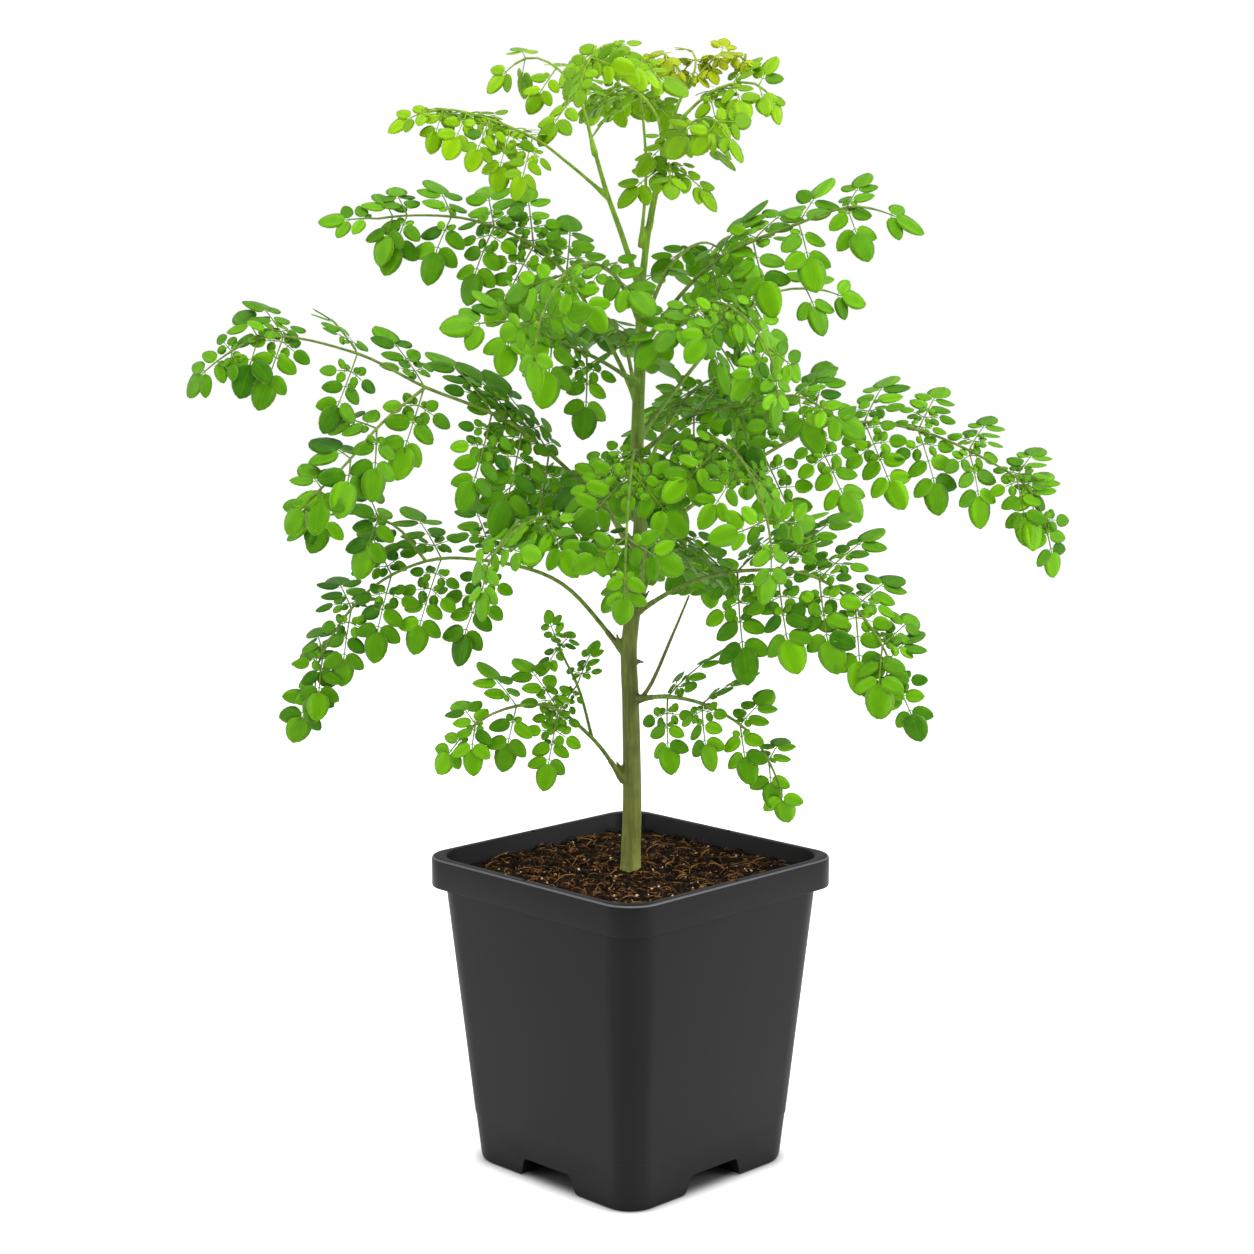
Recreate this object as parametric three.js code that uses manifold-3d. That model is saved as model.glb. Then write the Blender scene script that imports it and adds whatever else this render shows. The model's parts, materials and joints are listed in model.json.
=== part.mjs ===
// A young moringa tree in a black square nursery pot, in millimetres, with +Z up.
// The origin is the middle of the pot's footprint, on the surface that the pot stands on, and the
// pot's sides lie along X and Y.
import * as THREE from "three";
import { mergeVertices } from "three/addons/utils/BufferGeometryUtils.js";
import Module from "manifold-3d";

const wasm = await Module();
wasm.setup();

// The pot is square with round corners, and tapers down to four hollow feet.
const POT_HEIGHT = 192;
const RIM_SIDE = 182.6;
const RIM_CORNER = 20;
const RIM_DEPTH = 18.5;
const RIM_CHAMFER = 1.5;
const SKIRT_WALL = 2;
const BODY_TOP = 174.5; // the body's outer side, carried up to the rim's height
const BODY_BOTTOM = 140.7;
const BODY_CORNER = 19;
const CORNER_SEGMENTS = 3;
const WALL = 1.8;
const FOOT_ROUND = 4;
const CHANNEL_HEIGHT = 12.5; // the drainage channels that cross under the floor
const CHANNEL_TOP = 40;
const CHANNEL_BOTTOM = 46;
const DRAIN_RADIUS = 5.5;
const DRAIN_SIDES = 8;
const DRAIN_OFFSET = 38;

// The potting soil fills the pot to just below its rim.
const SOIL_LEVEL = 181;
const SOIL_CELLS = 9;
const SOIL_MOUND = 1.4; // how far the surface rises at the stem
const SOIL_CRUMBS = 1.1; // how far its crumbs stand up
const SEAT_GAP = 0.3; // between pieces that touch

// The tree stands on the pot's axis. Its leaves are laid out as seen by someone who faces the pot's
// front corner: u is to their right, v is away from them and z is up. That frame is turned from
// X and Y by VIEW_TURN.
const VIEW_TURN = Math.PI / 4;
const TRUNK_BURIED = 60;
const TRUNK_PATH = [
  [0, 0, SOIL_LEVEL - TRUNK_BURIED], [0, 0, 181], [1, 0, 226], [0, 0, 287], [-1, 0, 318],
  [2, 0, 348], [6, 0, 397], [4, 0, 438], [6, 0, 503], [6, 0, 540],
];
const TRUNK_RADIUS = { foot: 6.6, top: 3.1 };
const LEFT_LEADER = {
  path: [[6, 0, 530], [-5, 0, 564], [-14, 0, 589], [-21, 0, 613]],
  foot: 2.1, top: 1.4,
};
const RIGHT_LEADER = {
  path: [[6, 0, 530], [10, 0, 564], [14, 0, 587], [20, 0, 613], [26, 0, 635], [35, 0, 655]],
  foot: 2.4, top: 1,
};
const BARE_STALK = {
  path: [[2, -1, 284], [11, -6, 296], [24, -9, 326], [35, -11, 353]],
  foot: 1.7, top: 0.8,
};

// A leaf is one plate: a stalk with four sides that tapers, and on it groups of three leaflets, each
// cut to its rib.
const STALK_RADIUS = { foot: 1.7, tip: 0.8 };
const SIDE_STALK_SHARE = 0.7; // a side stalk's thickness, as a share of the main one's
const LEAST_TAPER = 0.8; // a thin stalk keeps no more than this share of its foot's thickness
const STALK_STEP = 34; // between two points along a bare stretch of stalk
const BLADE = 0.7;
const RIB_HALF = 0.6;
const SIDE_LEAFLET = { length: 15, width: 11, root: 0.75 };
const END_LEAFLET = { length: 25, width: 16.5 }; // from the pair's root to the tip
const LEAST_NODE = 3; // the pair stands at least this far out on its rib
const SIDE_LEAFLET_ANGLE = 74 * (Math.PI / 180); // from the rib
const ARCH = 0.012; // how fast a blade falls away from its rib, per millimetre squared

// A leaflet group leaves the leaf stalk at this angle, and bends down as it goes out.
const GROUP_ANGLE = 70 * (Math.PI / 180);
const LAST_GROUP_SHARE = 0.62; // the outermost group's reach, as a share of the innermost one's
const END_GROUP = { share: 0.6, droop: 0.5 }; // its reach, as a share of the innermost one's, and its bend
const LAST_PAIR = 0.86; // where the outermost pair stands, between the first pair and the end group
// Where a group would touch a neighbour it is swung about its stalk, by the least of these angles.
const SWINGS = [0, 9, -9, 18, -18, 28, -28, 40, -40, 54, -54].map((a) => a * (Math.PI / 180));
const CLEAR_BLADE = 1.6; // a blade this thick has to be clear of its neighbours
const ROOT_CLEAR = 3.5; // but not this first stretch of its rib, which stands on the stalk

const MATURE = { color: 0x3f9c14, roughness: 0.5 };
const FRESH = { color: 0x6bb81a, roughness: 0.5 };
const YOUNG = { color: 0xa5b92a, roughness: 0.5 };
const BARK = { color: 0x75824a, roughness: 0.7 };
const PLASTIC = { color: 0x2b2b2d, roughness: 0.55 };
const SOIL = { color: 0x3a2416, roughness: 0.95 };

// Each leaf: the path of its stalk from inside the stem to the leaf's tip, how many pairs of leaflet
// groups stand on it past which share of its length, how far the innermost groups reach, how far
// the groups on its near and far side rise (+) or hang (-) and then bend down, in degrees. Their
// upper side turns from straight up to the way the stalk's own one faces by the share `turned`, and
// then, on the near side and at the tip, to the viewer's side of the stalk by the share `aside`, and
// last the way the stalk runs by the share `forward`.
const HANGING = { lift: [-64, 42], droop: [24, 18], turned: 0.25, aside: 0.5, forward: 0 };
const SPREAD = { lift: [-26, -26], droop: [34, 34], turned: 0.8, aside: 0, forward: 0.45 };
// The lowest leaves are small, and so are their leaflets.
const LOW = { look: MATURE, scale: 0.86 };
// The crown's leaves are younger, with smaller leaflets and thinner stalks. Few of their groups rise.
const CROWN = { look: FRESH, scale: 0.78, stalk: 0.7 };
const NODDING = { lift: [-62, 14], droop: [24, 28], turned: 0.25, aside: 0.5, forward: 0 };
const LEAVES = [
  { name: "leaf_low_left", pairs: 3, from: 0.42, reach: 48, ...LOW, ...HANGING,
    path: [[-4, 0, 238], [-23, -14, 267], [-50, -26, 289], [-83, -36, 285], [-118, -42, 254]],
    side: [{ pairs: 2, from: 0.4, reach: 34,
      path: [[-23, -14, 267], [-31, -4, 295], [-42, 5, 317], [-50, 10, 342]] }] },
  { name: "leaf_low_right", pairs: 4, from: 0.2, reach: 46, ...LOW, ...HANGING,
    path: [[3, 0, 288], [24, -25, 294], [48, -45, 291], [72, -55, 275], [97, -60, 225]] },
  { name: "leaf_left_drooping", look: MATURE, pairs: 5, from: 0.35, reach: 66, ...HANGING,
    path: [[-3, 0, 316], [-44, 14, 358], [-93, 22, 370], [-124, 22, 369], [-159, 20, 351], [-189, 18, 309],
      [-201, 16, 255]],
    side: [{ pairs: 2, from: 0.4, reach: 38,
      path: [[-124, 22, 369], [-144, 25, 391], [-174, 23, 398], [-210, 19, 389]] }] },
  { name: "leaf_right_drooping", look: MATURE, pairs: 5, from: 0.33, reach: 68, ...HANGING,
    path: [[2, 0, 340], [33, -22, 361], [65, -46, 372], [109, -72, 370], [141, -86, 337], [160, -97, 280]] },
  { name: "leaf_left_long", look: MATURE, pairs: 5, from: 0.27, reach: 68, ...HANGING,
    path: [[4, 0, 380], [-32, -30, 425], [-73, -50, 460], [-116, -64, 479], [-155, -74, 499],
      [-208, -84, 507], [-250, -86, 475]],
    side: [{ pairs: 2, from: 0.34, reach: 40,
      path: [[-116, -64, 479], [-139, -84, 460], [-163, -99, 433], [-195, -106, 405]] }] },
  { name: "leaf_right_long", look: MATURE, pairs: 6, from: 0.3, reach: 68, ...HANGING,
    path: [[5, 0, 378], [37, 20, 403], [83, 38, 433], [121, 46, 450], [170, 48, 448], [217, 46, 429],
      [245, 42, 409], [262, 36, 357]] },
  { name: "leaf_right_inner", look: MATURE, pairs: 3, from: 0.32, reach: 54, ...HANGING,
    path: [[4, 0, 434], [34, -30, 460], [63, -55, 468], [96, -70, 474], [128, -82, 450]] },
  { name: "leaf_right_upper_back", look: MATURE, pairs: 3, from: 0.42, reach: 48, ...HANGING,
    path: [[5, 0, 446], [46, 35, 495], [66, 55, 514], [94, 70, 531], [148, 82, 527]] },
  { name: "leaf_left_upper", look: MATURE, pairs: 5, from: 0.36, reach: 60, ...HANGING,
    path: [[5, 0, 465], [-15, 12, 505], [-47, 26, 550], [-90, 36, 572], [-133, 40, 576], [-187, 40, 568]] },
  { name: "leaf_left_inner", look: MATURE, pairs: 3, from: 0.34, reach: 50, ...HANGING,
    path: [[5, 0, 477], [-17, -25, 492], [-40, -50, 504], [-68, -70, 516], [-104, -80, 510]] },
  { name: "leaf_right_upper", look: MATURE, pairs: 4, from: 0.34, reach: 54, ...HANGING,
    path: [[6, 0, 498], [32, -15, 533], [53, -25, 552], [94, -40, 570], [130, -45, 580], [166, -48, 566]] },
  { name: "leaf_crown_left", pairs: 3, from: 0.4, reach: 42, ...CROWN, ...NODDING,
    path: [[-13, 0, 586], [-37, -10, 606], [-57, -20, 620], [-108, -30, 635], [-138, -34, 624]] },
  { name: "leaf_crown_top_left", pairs: 3, from: 0.34, reach: 38, ...CROWN, ...NODDING,
    path: [[-20.5, 0, 610], [-29, 0, 641], [-41, 8, 659], [-59, 15, 667], [-86, 18, 650]] },
  { name: "leaf_crown_right", pairs: 2, from: 0.36, reach: 34, ...CROWN, ...NODDING,
    path: [[23, 0, 624], [40, -2, 641], [53, -6, 649], [73, -10, 650], [90, -12, 630]] },
  { name: "leaf_crown_front_right", pairs: 2, from: 0.38, reach: 40, ...CROWN, ...SPREAD,
    path: [[15, 0, 592], [28, -25, 622], [45, -45, 629], [64, -64, 608]] },
  { name: "leaf_crown_front", pairs: 3, from: 0.56, reach: 42, ...CROWN, ...SPREAD,
    path: [[6, 0, 557], [9, -10, 604], [4, -26, 648], [-6, -52, 668], [-20, -84, 662], [-31, -108, 634]] },
  { name: "leaf_crown_back", pairs: 3, from: 0.36, reach: 40, ...CROWN, ...SPREAD,
    path: [[19, 0, 610], [16, 14, 632], [2, 42, 650], [-14, 74, 652], [-28, 108, 638]] },
  { name: "leaf_crown_hanging", pairs: 1, from: 0.6, reach: 38, ...CROWN, ...SPREAD,
    path: [[11, 0, 568], [18, -18, 598], [22, -44, 604], [22, -74, 588]] },
  { name: "leaf_front_low", look: MATURE, pairs: 3, from: 0.34, reach: 58, ...SPREAD,
    path: [[5, 0, 402], [4, -42, 440], [1, -84, 438], [-2, -112, 405], [-4, -124, 352]] },
  { name: "leaf_front_right", look: MATURE, pairs: 3, from: 0.36, reach: 56, ...SPREAD,
    path: [[5, 0, 420], [32, -42, 447], [58, -82, 444], [74, -110, 414], [80, -124, 364]] },
  { name: "leaf_front_upper_right", look: MATURE, pairs: 3, from: 0.36, reach: 54, ...SPREAD,
    path: [[5, 0, 484], [26, -38, 518], [52, -76, 526], [74, -106, 504], [84, -122, 462]] },
  { name: "leaf_front_upper_left", look: MATURE, pairs: 3, from: 0.36, reach: 50, ...SPREAD,
    path: [[6, 0, 515], [-12, -34, 544], [-32, -68, 546], [-48, -96, 522], [-56, -110, 480]] },
  { name: "leaf_front_left", look: MATURE, pairs: 3, from: 0.36, reach: 50, ...SPREAD,
    path: [[2, 0, 352], [-24, -44, 394], [-52, -86, 407], [-74, -116, 392], [-88, -130, 358]] },
  { name: "leaf_back_low", look: MATURE, pairs: 3, from: 0.34, reach: 58, ...SPREAD,
    path: [[0, 0, 326], [14, 44, 362], [32, 96, 374], [46, 144, 362], [56, 184, 324]] },
  { name: "leaf_back_left", look: MATURE, pairs: 3, from: 0.34, reach: 56, ...SPREAD,
    path: [[5, 0, 368], [-20, 44, 406], [-46, 90, 420], [-68, 128, 410], [-82, 156, 376]] },
  { name: "leaf_back_right", look: MATURE, pairs: 3, from: 0.34, reach: 56, ...SPREAD,
    path: [[4, 0, 414], [26, 46, 456], [50, 100, 474], [70, 150, 466], [82, 188, 436]] },
  { name: "leaf_back_upper_left", look: MATURE, pairs: 3, from: 0.34, reach: 44, ...SPREAD,
    path: [[5, 0, 458], [-4, 44, 500], [-20, 92, 516], [-38, 144, 500]] },
  { name: "leaf_back_upper_right", look: MATURE, pairs: 3, from: 0.34, reach: 42, ...SPREAD,
    path: [[6, 0, 508], [24, 36, 546], [46, 76, 560], [68, 116, 546]] },
];

// The shoot at the tip of the right leader, with three leaves that have only just opened.
const SHOOT = {
  name: "leaf_shoot", look: YOUNG, ...NODDING, turned: 0, aside: 0, lift: [-10, 10], scale: 0.5,
  stalk: 0.68,
  path: [[33.5, 0, 648], [27, -3, 661], [18, -6, 668], [4, -9, 661]], pairs: 1, from: 0.55, reach: 14,
  side: [
    { path: [[33.5, 0, 648], [38, 4, 662], [37, 8, 669], [31, 14, 673]], pairs: 1, from: 0.55, reach: 12 },
    { path: [[33.5, 0, 648], [45, 2, 662], [56, 3, 670], [73, 2, 660]], pairs: 1, from: 0.55, reach: 14 },
  ],
};

const UP = new THREE.Vector3(0, 0, 1);
const vector = (p) => new THREE.Vector3(...p);
const material = (look) => new THREE.MeshStandardMaterial({ metalness: 0, ...look });

// A closed geometry as a solid, and a solid as a geometry.
function solidOf(geometry) {
  const bare = geometry.clone();
  bare.deleteAttribute("normal");
  bare.deleteAttribute("uv");
  const merged = mergeVertices(bare, 1e-4);
  return new wasm.Manifold(new wasm.Mesh({
    numProp: 3,
    vertProperties: new Float32Array(merged.attributes.position.array),
    triVerts: new Uint32Array(merged.index.array),
  }));
}

function geometryOf(solid) {
  const mesh = solid.getMesh();
  const geometry = new THREE.BufferGeometry();
  geometry.setAttribute("position", new THREE.BufferAttribute(new Float32Array(mesh.vertProperties), 3));
  geometry.setIndex(new THREE.BufferAttribute(new Uint32Array(mesh.triVerts), 1));
  geometry.computeVertexNormals();
  return geometry;
}

function moveVertices(geometry, move) {
  const at = geometry.attributes.position;
  for (let i = 0; i < at.count; i++) {
    const p = move(at.getX(i), at.getY(i), at.getZ(i));
    at.setXYZ(i, p.x, p.y, p.z);
  }
  return geometry;
}

// A square with round corners.
function roundedSquare(side, corner) {
  const middle = side / 2 - corner;
  const shape = new THREE.Shape();
  [[1, 1], [-1, 1], [-1, -1], [1, -1]].forEach(([x, y], quarter) => {
    const turn = (quarter * Math.PI) / 2;
    shape.absarc(x * middle, y * middle, corner, turn, turn + Math.PI / 2);
  });
  return shape;
}

// A block between two heights whose square plan grows evenly from one side length to the other.
function taperedBlock(low, high, sideLow, sideHigh, cornerLow) {
  const shape = roundedSquare(sideLow, cornerLow);
  const options = { depth: 1, bevelEnabled: false, curveSegments: CORNER_SEGMENTS };
  const geometry = new THREE.ExtrudeGeometry(shape, options);
  const grow = (share) => 1 + share * (sideHigh / sideLow - 1);
  return solidOf(moveVertices(geometry, (x, y, share) =>
    new THREE.Vector3(x * grow(share), y * grow(share), low + share * (high - low))));
}

const bodySide = (z) => BODY_BOTTOM + (BODY_TOP - BODY_BOTTOM) * (z / POT_HEIGHT);

// The space inside the body's walls, drawn in by some more on every side.
function cavity(inset, top) {
  const low = WALL + inset;
  const narrower = 2 * (WALL + inset);
  return taperedBlock(low, top, bodySide(low) - narrower, bodySide(top) - narrower, BODY_CORNER - WALL);
}

// The two channels that cross under the floor, wider by some more on every side.
function channels(extra) {
  const half = { low: CHANNEL_BOTTOM / 2 + extra, high: CHANNEL_TOP / 2 + extra };
  const floor = -1;
  const shape = new THREE.Shape([
    new THREE.Vector2(-half.low, floor), new THREE.Vector2(half.low, floor),
    new THREE.Vector2(half.high, CHANNEL_HEIGHT + extra),
    new THREE.Vector2(-half.high, CHANNEL_HEIGHT + extra),
  ]);
  const along = new THREE.ExtrudeGeometry(shape, { depth: RIM_SIDE, bevelEnabled: false });
  along.translate(0, 0, -RIM_SIDE / 2);
  along.rotateX(Math.PI / 2);
  const across = along.clone().rotateZ(Math.PI / 2);
  return solidOf(along).add(solidOf(across));
}

function drainHoles() {
  const places = [[0, 0], [1, 0], [-1, 0], [0, 1], [0, -1]];
  const holes = places.map(([x, y]) => {
    const hole = new THREE.CylinderGeometry(DRAIN_RADIUS, DRAIN_RADIUS, CHANNEL_HEIGHT, DRAIN_SIDES);
    hole.rotateX(Math.PI / 2);
    return solidOf(hole.translate(x * DRAIN_OFFSET, y * DRAIN_OFFSET, CHANNEL_HEIGHT));
  });
  return wasm.Manifold.union(holes);
}

function makePot() {
  const rimLow = POT_HEIGHT - RIM_DEPTH;
  const shoulder = POT_HEIGHT - RIM_CHAMFER;
  const footSide = bodySide(FOOT_ROUND);
  const foot = taperedBlock(0, FOOT_ROUND, footSide - FOOT_ROUND, footSide, BODY_CORNER - FOOT_ROUND / 2);
  const body = taperedBlock(FOOT_ROUND, shoulder, footSide, bodySide(shoulder), BODY_CORNER);
  const rim = taperedBlock(rimLow, shoulder, RIM_SIDE, RIM_SIDE, RIM_CORNER)
    .add(taperedBlock(shoulder, POT_HEIGHT, RIM_SIDE, RIM_SIDE - 2 * RIM_CHAMFER, RIM_CORNER));
  const skirtInside = RIM_SIDE - 2 * SKIRT_WALL;
  const underLip = POT_HEIGHT - 2 * SKIRT_WALL;
  const underRim = taperedBlock(rimLow - 1, underLip, skirtInside, skirtInside, RIM_CORNER - SKIRT_WALL)
    .subtract(body);
  const inside = cavity(0, POT_HEIGHT + 1).subtract(channels(WALL));
  return foot.add(body).add(rim).subtract(underRim)
    .subtract(inside).subtract(channels(0)).subtract(drainHoles());
}

// The soil's surface: a low mound at the stem, with crumbs and hollows.
function soilRise(x, y) {
  const out = Math.hypot(x, y) / (BODY_TOP / 2);
  const crumbs = Math.sin(0.23 * x + 1.1) * Math.cos(0.19 * y - 0.4) + 0.7 * Math.sin(0.41 * x - 0.33 * y);
  return SOIL_MOUND * (1 - out * out) + SOIL_CRUMBS * crumbs;
}

function makeSoil(trunkHole) {
  const side = BODY_TOP + 4;
  const geometry = new THREE.BoxGeometry(side, side, 1, SOIL_CELLS, SOIL_CELLS, 1);
  const heap = solidOf(moveVertices(geometry, (x, y, z) =>
    new THREE.Vector3(x, y, z < 0 ? -1 : SOIL_LEVEL + soilRise(x, y))));
  return cavity(SEAT_GAP, POT_HEIGHT).intersect(heap).subtract(channels(WALL + SEAT_GAP)).subtract(trunkHole);
}

// A round rod that follows a curve and tapers from its foot to its tip.
function bentRod(curve, foot, tip, sides, steps) {
  const frames = curve.computeFrenetFrames(steps, false);
  const rod = new THREE.CylinderGeometry(tip, foot, 1, sides, steps);
  return moveVertices(rod, (x, y, z) => {
    const step = Math.round((y + 0.5) * steps);
    return curve.getPointAt(step / steps)
      .addScaledVector(frames.binormals[step], x)
      .addScaledVector(frames.normals[step], z);
  });
}

const curveOf = (path) => new THREE.CatmullRomCurve3(path.map(vector), false, "centripetal");

// The trunk, its two leaders and the bare stalk of a lost leaf, each thicker all round by some more.
function makeStem(extra) {
  const rods = [
    [TRUNK_PATH, TRUNK_RADIUS.foot, TRUNK_RADIUS.top, 8, 12],
    [LEFT_LEADER.path, LEFT_LEADER.foot, LEFT_LEADER.top, 6, 4],
    [RIGHT_LEADER.path, RIGHT_LEADER.foot, RIGHT_LEADER.top, 6, 6],
    [BARE_STALK.path, BARE_STALK.foot, BARE_STALK.top, 5, 4],
  ];
  return wasm.Manifold.union(rods.map(([path, foot, top, sides, steps]) =>
    solidOf(bentRod(curveOf(path), foot + extra, top + extra, sides, steps))));
}

// Where an outline is laid out flat to fill it with faces, its stalk turns at every station, and its
// groups' ribs at their leaflets, so that no face spans more than one stretch of stalk or rib.
const FLAT_STEP = 80;
const FLAT_RIB = 30;
const FLAT_TURN = 12;

// A plate from the points round its outline. Each has a flat place, which only says how the faces
// run, its real place, the direction that the plate faces there and the plate's thickness.
function plateOf(points) {
  const key = (x, y) => `${Math.fround(x)} ${Math.fround(y)}`;
  const real = new Map(points.map((p) => [key(p.flat.x, p.flat.y), p]));
  const outline = new THREE.Shape(points.map((p) => p.flat));
  const plate = new THREE.ExtrudeGeometry(outline, { depth: 1, bevelEnabled: false });
  return solidOf(moveVertices(plate, (x, y, z) => {
    const p = real.get(key(x, y));
    return p.at.clone().addScaledVector(p.facing, (z - 0.5) * p.thickness);
  }));
}

// The outline of a leaflet group on its own flat, with its rib along x: out on its right side and
// back on its left.
function groupOutline({ reach, scale }) {
  const node = Math.max(reach - END_LEAFLET.length * scale, LEAST_NODE);
  const forward = Math.cos(SIDE_LEAFLET_ANGLE) * scale;
  const sideways = Math.sin(SIDE_LEAFLET_ANGLE) * scale;
  const { length, width } = SIDE_LEAFLET;
  const side = (out, inward) => [
    node + out * length * forward + inward * (width / 2) * sideways,
    -RIB_HALF - out * length * sideways + inward * (width / 2) * forward,
  ];
  const end = (out, aside) => [
    node + out * END_LEAFLET.length * scale,
    -aside * (END_LEAFLET.width / 2) * scale,
  ];
  const right = [
    [node - SIDE_LEAFLET.root, -RIB_HALF], side(0.5, -0.95), side(1, -0.2), side(0.6, 0.95),
    [node + SIDE_LEAFLET.root, -RIB_HALF], end(0.55, 1), end(0.92, 0.55),
  ];
  const left = right.map(([x, y]) => [x, -y]).reverse();
  return [...right, ...left].map(([x, y]) => {
    const flat = new THREE.Vector2(FLAT_RIB + x - node, FLAT_TURN + y);
    return { x, y, flat };
  });
}

// The points round a group that starts at a place, goes out in a direction and bends down.
function groupPoints(place, swing, outline, thickness) {
  const direction = groupDirection(place, swing);
  const above = UP.clone().lerp(place.facing, place.turned).lerp(place.side, place.aside);
  above.lerp(place.tangent, place.forward);
  const facing = above.addScaledVector(direction, -above.dot(direction)).normalize();
  const leftward = facing.clone().cross(direction);
  const bend = place.droop / place.reach;
  return outline.map(({ x, y, flat }) => {
    const turn = bend * x;
    const fall = -ARCH * y * y;
    const there = facing.clone().multiplyScalar(Math.cos(turn)).addScaledVector(direction, Math.sin(turn));
    const at = place.start.clone()
      .addScaledVector(direction, Math.sin(turn) / bend)
      .addScaledVector(facing, (Math.cos(turn) - 1) / bend)
      .addScaledVector(leftward, y)
      .addScaledVector(there, fall);
    return { flat, at, facing: there, thickness };
  });
}

// The direction of a group that has been swung up or down about the stalk.
function groupDirection(place, swing) {
  const { hand, tangent, sideways, facing } = place;
  const between = (from, to, angle) =>
    from.clone().multiplyScalar(Math.cos(angle)).addScaledVector(to, Math.sin(angle));
  if (!hand) return between(tangent, facing, swing);
  const outward = between(sideways.clone().multiplyScalar(hand), UP, place.lift + swing);
  return between(tangent, outward, GROUP_ANGLE).normalize();
}

// A place along a stalk: its point, the way the stalk runs there, what is to the right of it, the way
// it faces, and the one of its two sides that is nearer to the viewer.
function stalkPlace(curve, share) {
  const tangent = curve.getTangentAt(share);
  const sideways = tangent.clone().cross(UP).normalize();
  const facing = sideways.clone().cross(tangent);
  const side = sideways.clone().multiplyScalar(sideways.y < 0 ? 1 : -1);
  return { share, start: curve.getPointAt(share), tangent, sideways, facing, side };
}

// The shares of a stalk's length at which its outline has points: its bare foot, then each pair.
function stationsOf(curve, { from, pairs, reach }) {
  const length = curve.getLength();
  const end = 1 - (reach * END_GROUP.share) / length;
  const bare = Math.max(2, Math.round((length * from) / STALK_STEP));
  const foot = Array.from({ length: bare }, (_, i) => (from * i) / bare);
  const pitch = ((end - from) * LAST_PAIR) / Math.max(pairs - 1, 1);
  const leafy = Array.from({ length: pairs }, (_, i) => from + pitch * i);
  return { bare, end, shares: [...foot, ...leafy] };
}

// Where the leaflet groups of one stalk stand and point: one at the tip, and opposite pairs.
function groupPlaces({ curve, spec, stations }) {
  const radians = (degrees) => degrees * (Math.PI / 180);
  const { scale = 1, turned, aside, forward } = spec;
  const { bare, end, shares } = stations;
  const places = shares.slice(bare).flatMap((share, i) => {
    const outer = spec.pairs > 1 ? i / (spec.pairs - 1) : 0;
    const reach = spec.reach * (1 - outer * (1 - LAST_GROUP_SHARE));
    const place = { ...stalkPlace(curve, share), scale, turned, forward, station: bare + i, reach };
    return [1, -1].map((hand) => {
      const far = hand * place.sideways.y > 0 ? 1 : 0;
      const hang = { lift: radians(spec.lift[far]), droop: radians(spec.droop[far]) };
      return { ...place, ...hang, hand, aside: far ? 0 : aside };
    });
  });
  const { share, droop } = END_GROUP;
  const reach = spec.reach * share;
  const tip = { station: shares.length, hand: 0, reach, droop };
  const last = { ...stalkPlace(curve, end), scale, turned, aside, forward, ...tip };
  return [last, ...places];
}

const flatStation = (station) => new THREE.Vector2(station * FLAT_STEP, (station % 2) * FLAT_TURN);

// The points along one side of a stalk, from its foot to its tip, going out round each group.
function stalkSide({ curve, stations, foot, tip, groups }, hand) {
  const edge = (share, station, along) => {
    const { start, sideways, facing } = stalkPlace(curve, share);
    const thickness = 2 * (foot + (tip - foot) * share);
    const at = start.addScaledVector(sideways, (hand * thickness) / 2);
    return { flat: flatStation(station).add(new THREE.Vector2(along, -hand)), at, facing, thickness };
  };
  const root = RIB_HALF / Math.sin(GROUP_ANGLE) / curve.getLength();
  return stations.shares.flatMap((share, station) => {
    const group = groups.find(({ place }) => place.station === station && place.hand === hand);
    if (!group) return [edge(share, station, 0)];
    const around = group.points.map((p) => {
      const turned = new THREE.Vector2(hand * p.flat.y, -hand * (1 + p.flat.x));
      return { ...p, flat: turned.add(flatStation(station)) };
    });
    if (hand < 0) around.reverse();
    return [edge(share - root, station, -RIB_HALF), ...around, edge(share + root, station, RIB_HALF)];
  });
}

function leafPlate(stalk) {
  const end = stalk.groups.find(({ place }) => place.hand === 0);
  const tip = end.points.map((p) => ({ ...p, flat: p.flat.clone().add(flatStation(end.place.station)) }));
  return plateOf([...stalkSide(stalk, 1), ...tip, ...stalkSide(stalk, -1).reverse()]);
}

// A cut can leave scraps beside the body, which are dropped.
const largest = (solid) => solid.decompose().reduce((a, b) => (b.volume() > a.volume() ? b : a));

const touches = (a, b) => {
  const p = a.boundingBox();
  const q = b.boundingBox();
  const apart = [0, 1, 2].some((k) => p.min[k] > q.max[k] || q.min[k] > p.max[k]);
  return !apart && a.intersect(b).volume() > 1e-6;
};

function stalksOf(leaf) {
  return [leaf, ...(leaf.side ?? [])].map((part, i) => {
    const foot = STALK_RADIUS.foot * (leaf.stalk ?? 1) * (i ? SIDE_STALK_SHARE : 1);
    const tip = Math.min(STALK_RADIUS.tip, foot * LEAST_TAPER);
    const curve = curveOf(part.path);
    const spec = { ...leaf, ...part };
    return { curve, spec, stations: stationsOf(curve, spec), groups: [], foot, tip };
  });
}

const stem = makeStem(0);
const stemHole = makeStem(SEAT_GAP);

// The outline of the stretch of a group that has to be clear of its neighbours.
function clearOutline(outline) {
  const x = Math.min(ROOT_CLEAR, outline[0].x - RIB_HALF);
  const corner = (y) => ({ x, y, flat: new THREE.Vector2(0, y) });
  return [corner(-RIB_HALF), ...outline, corner(RIB_HALF)];
}

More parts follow.
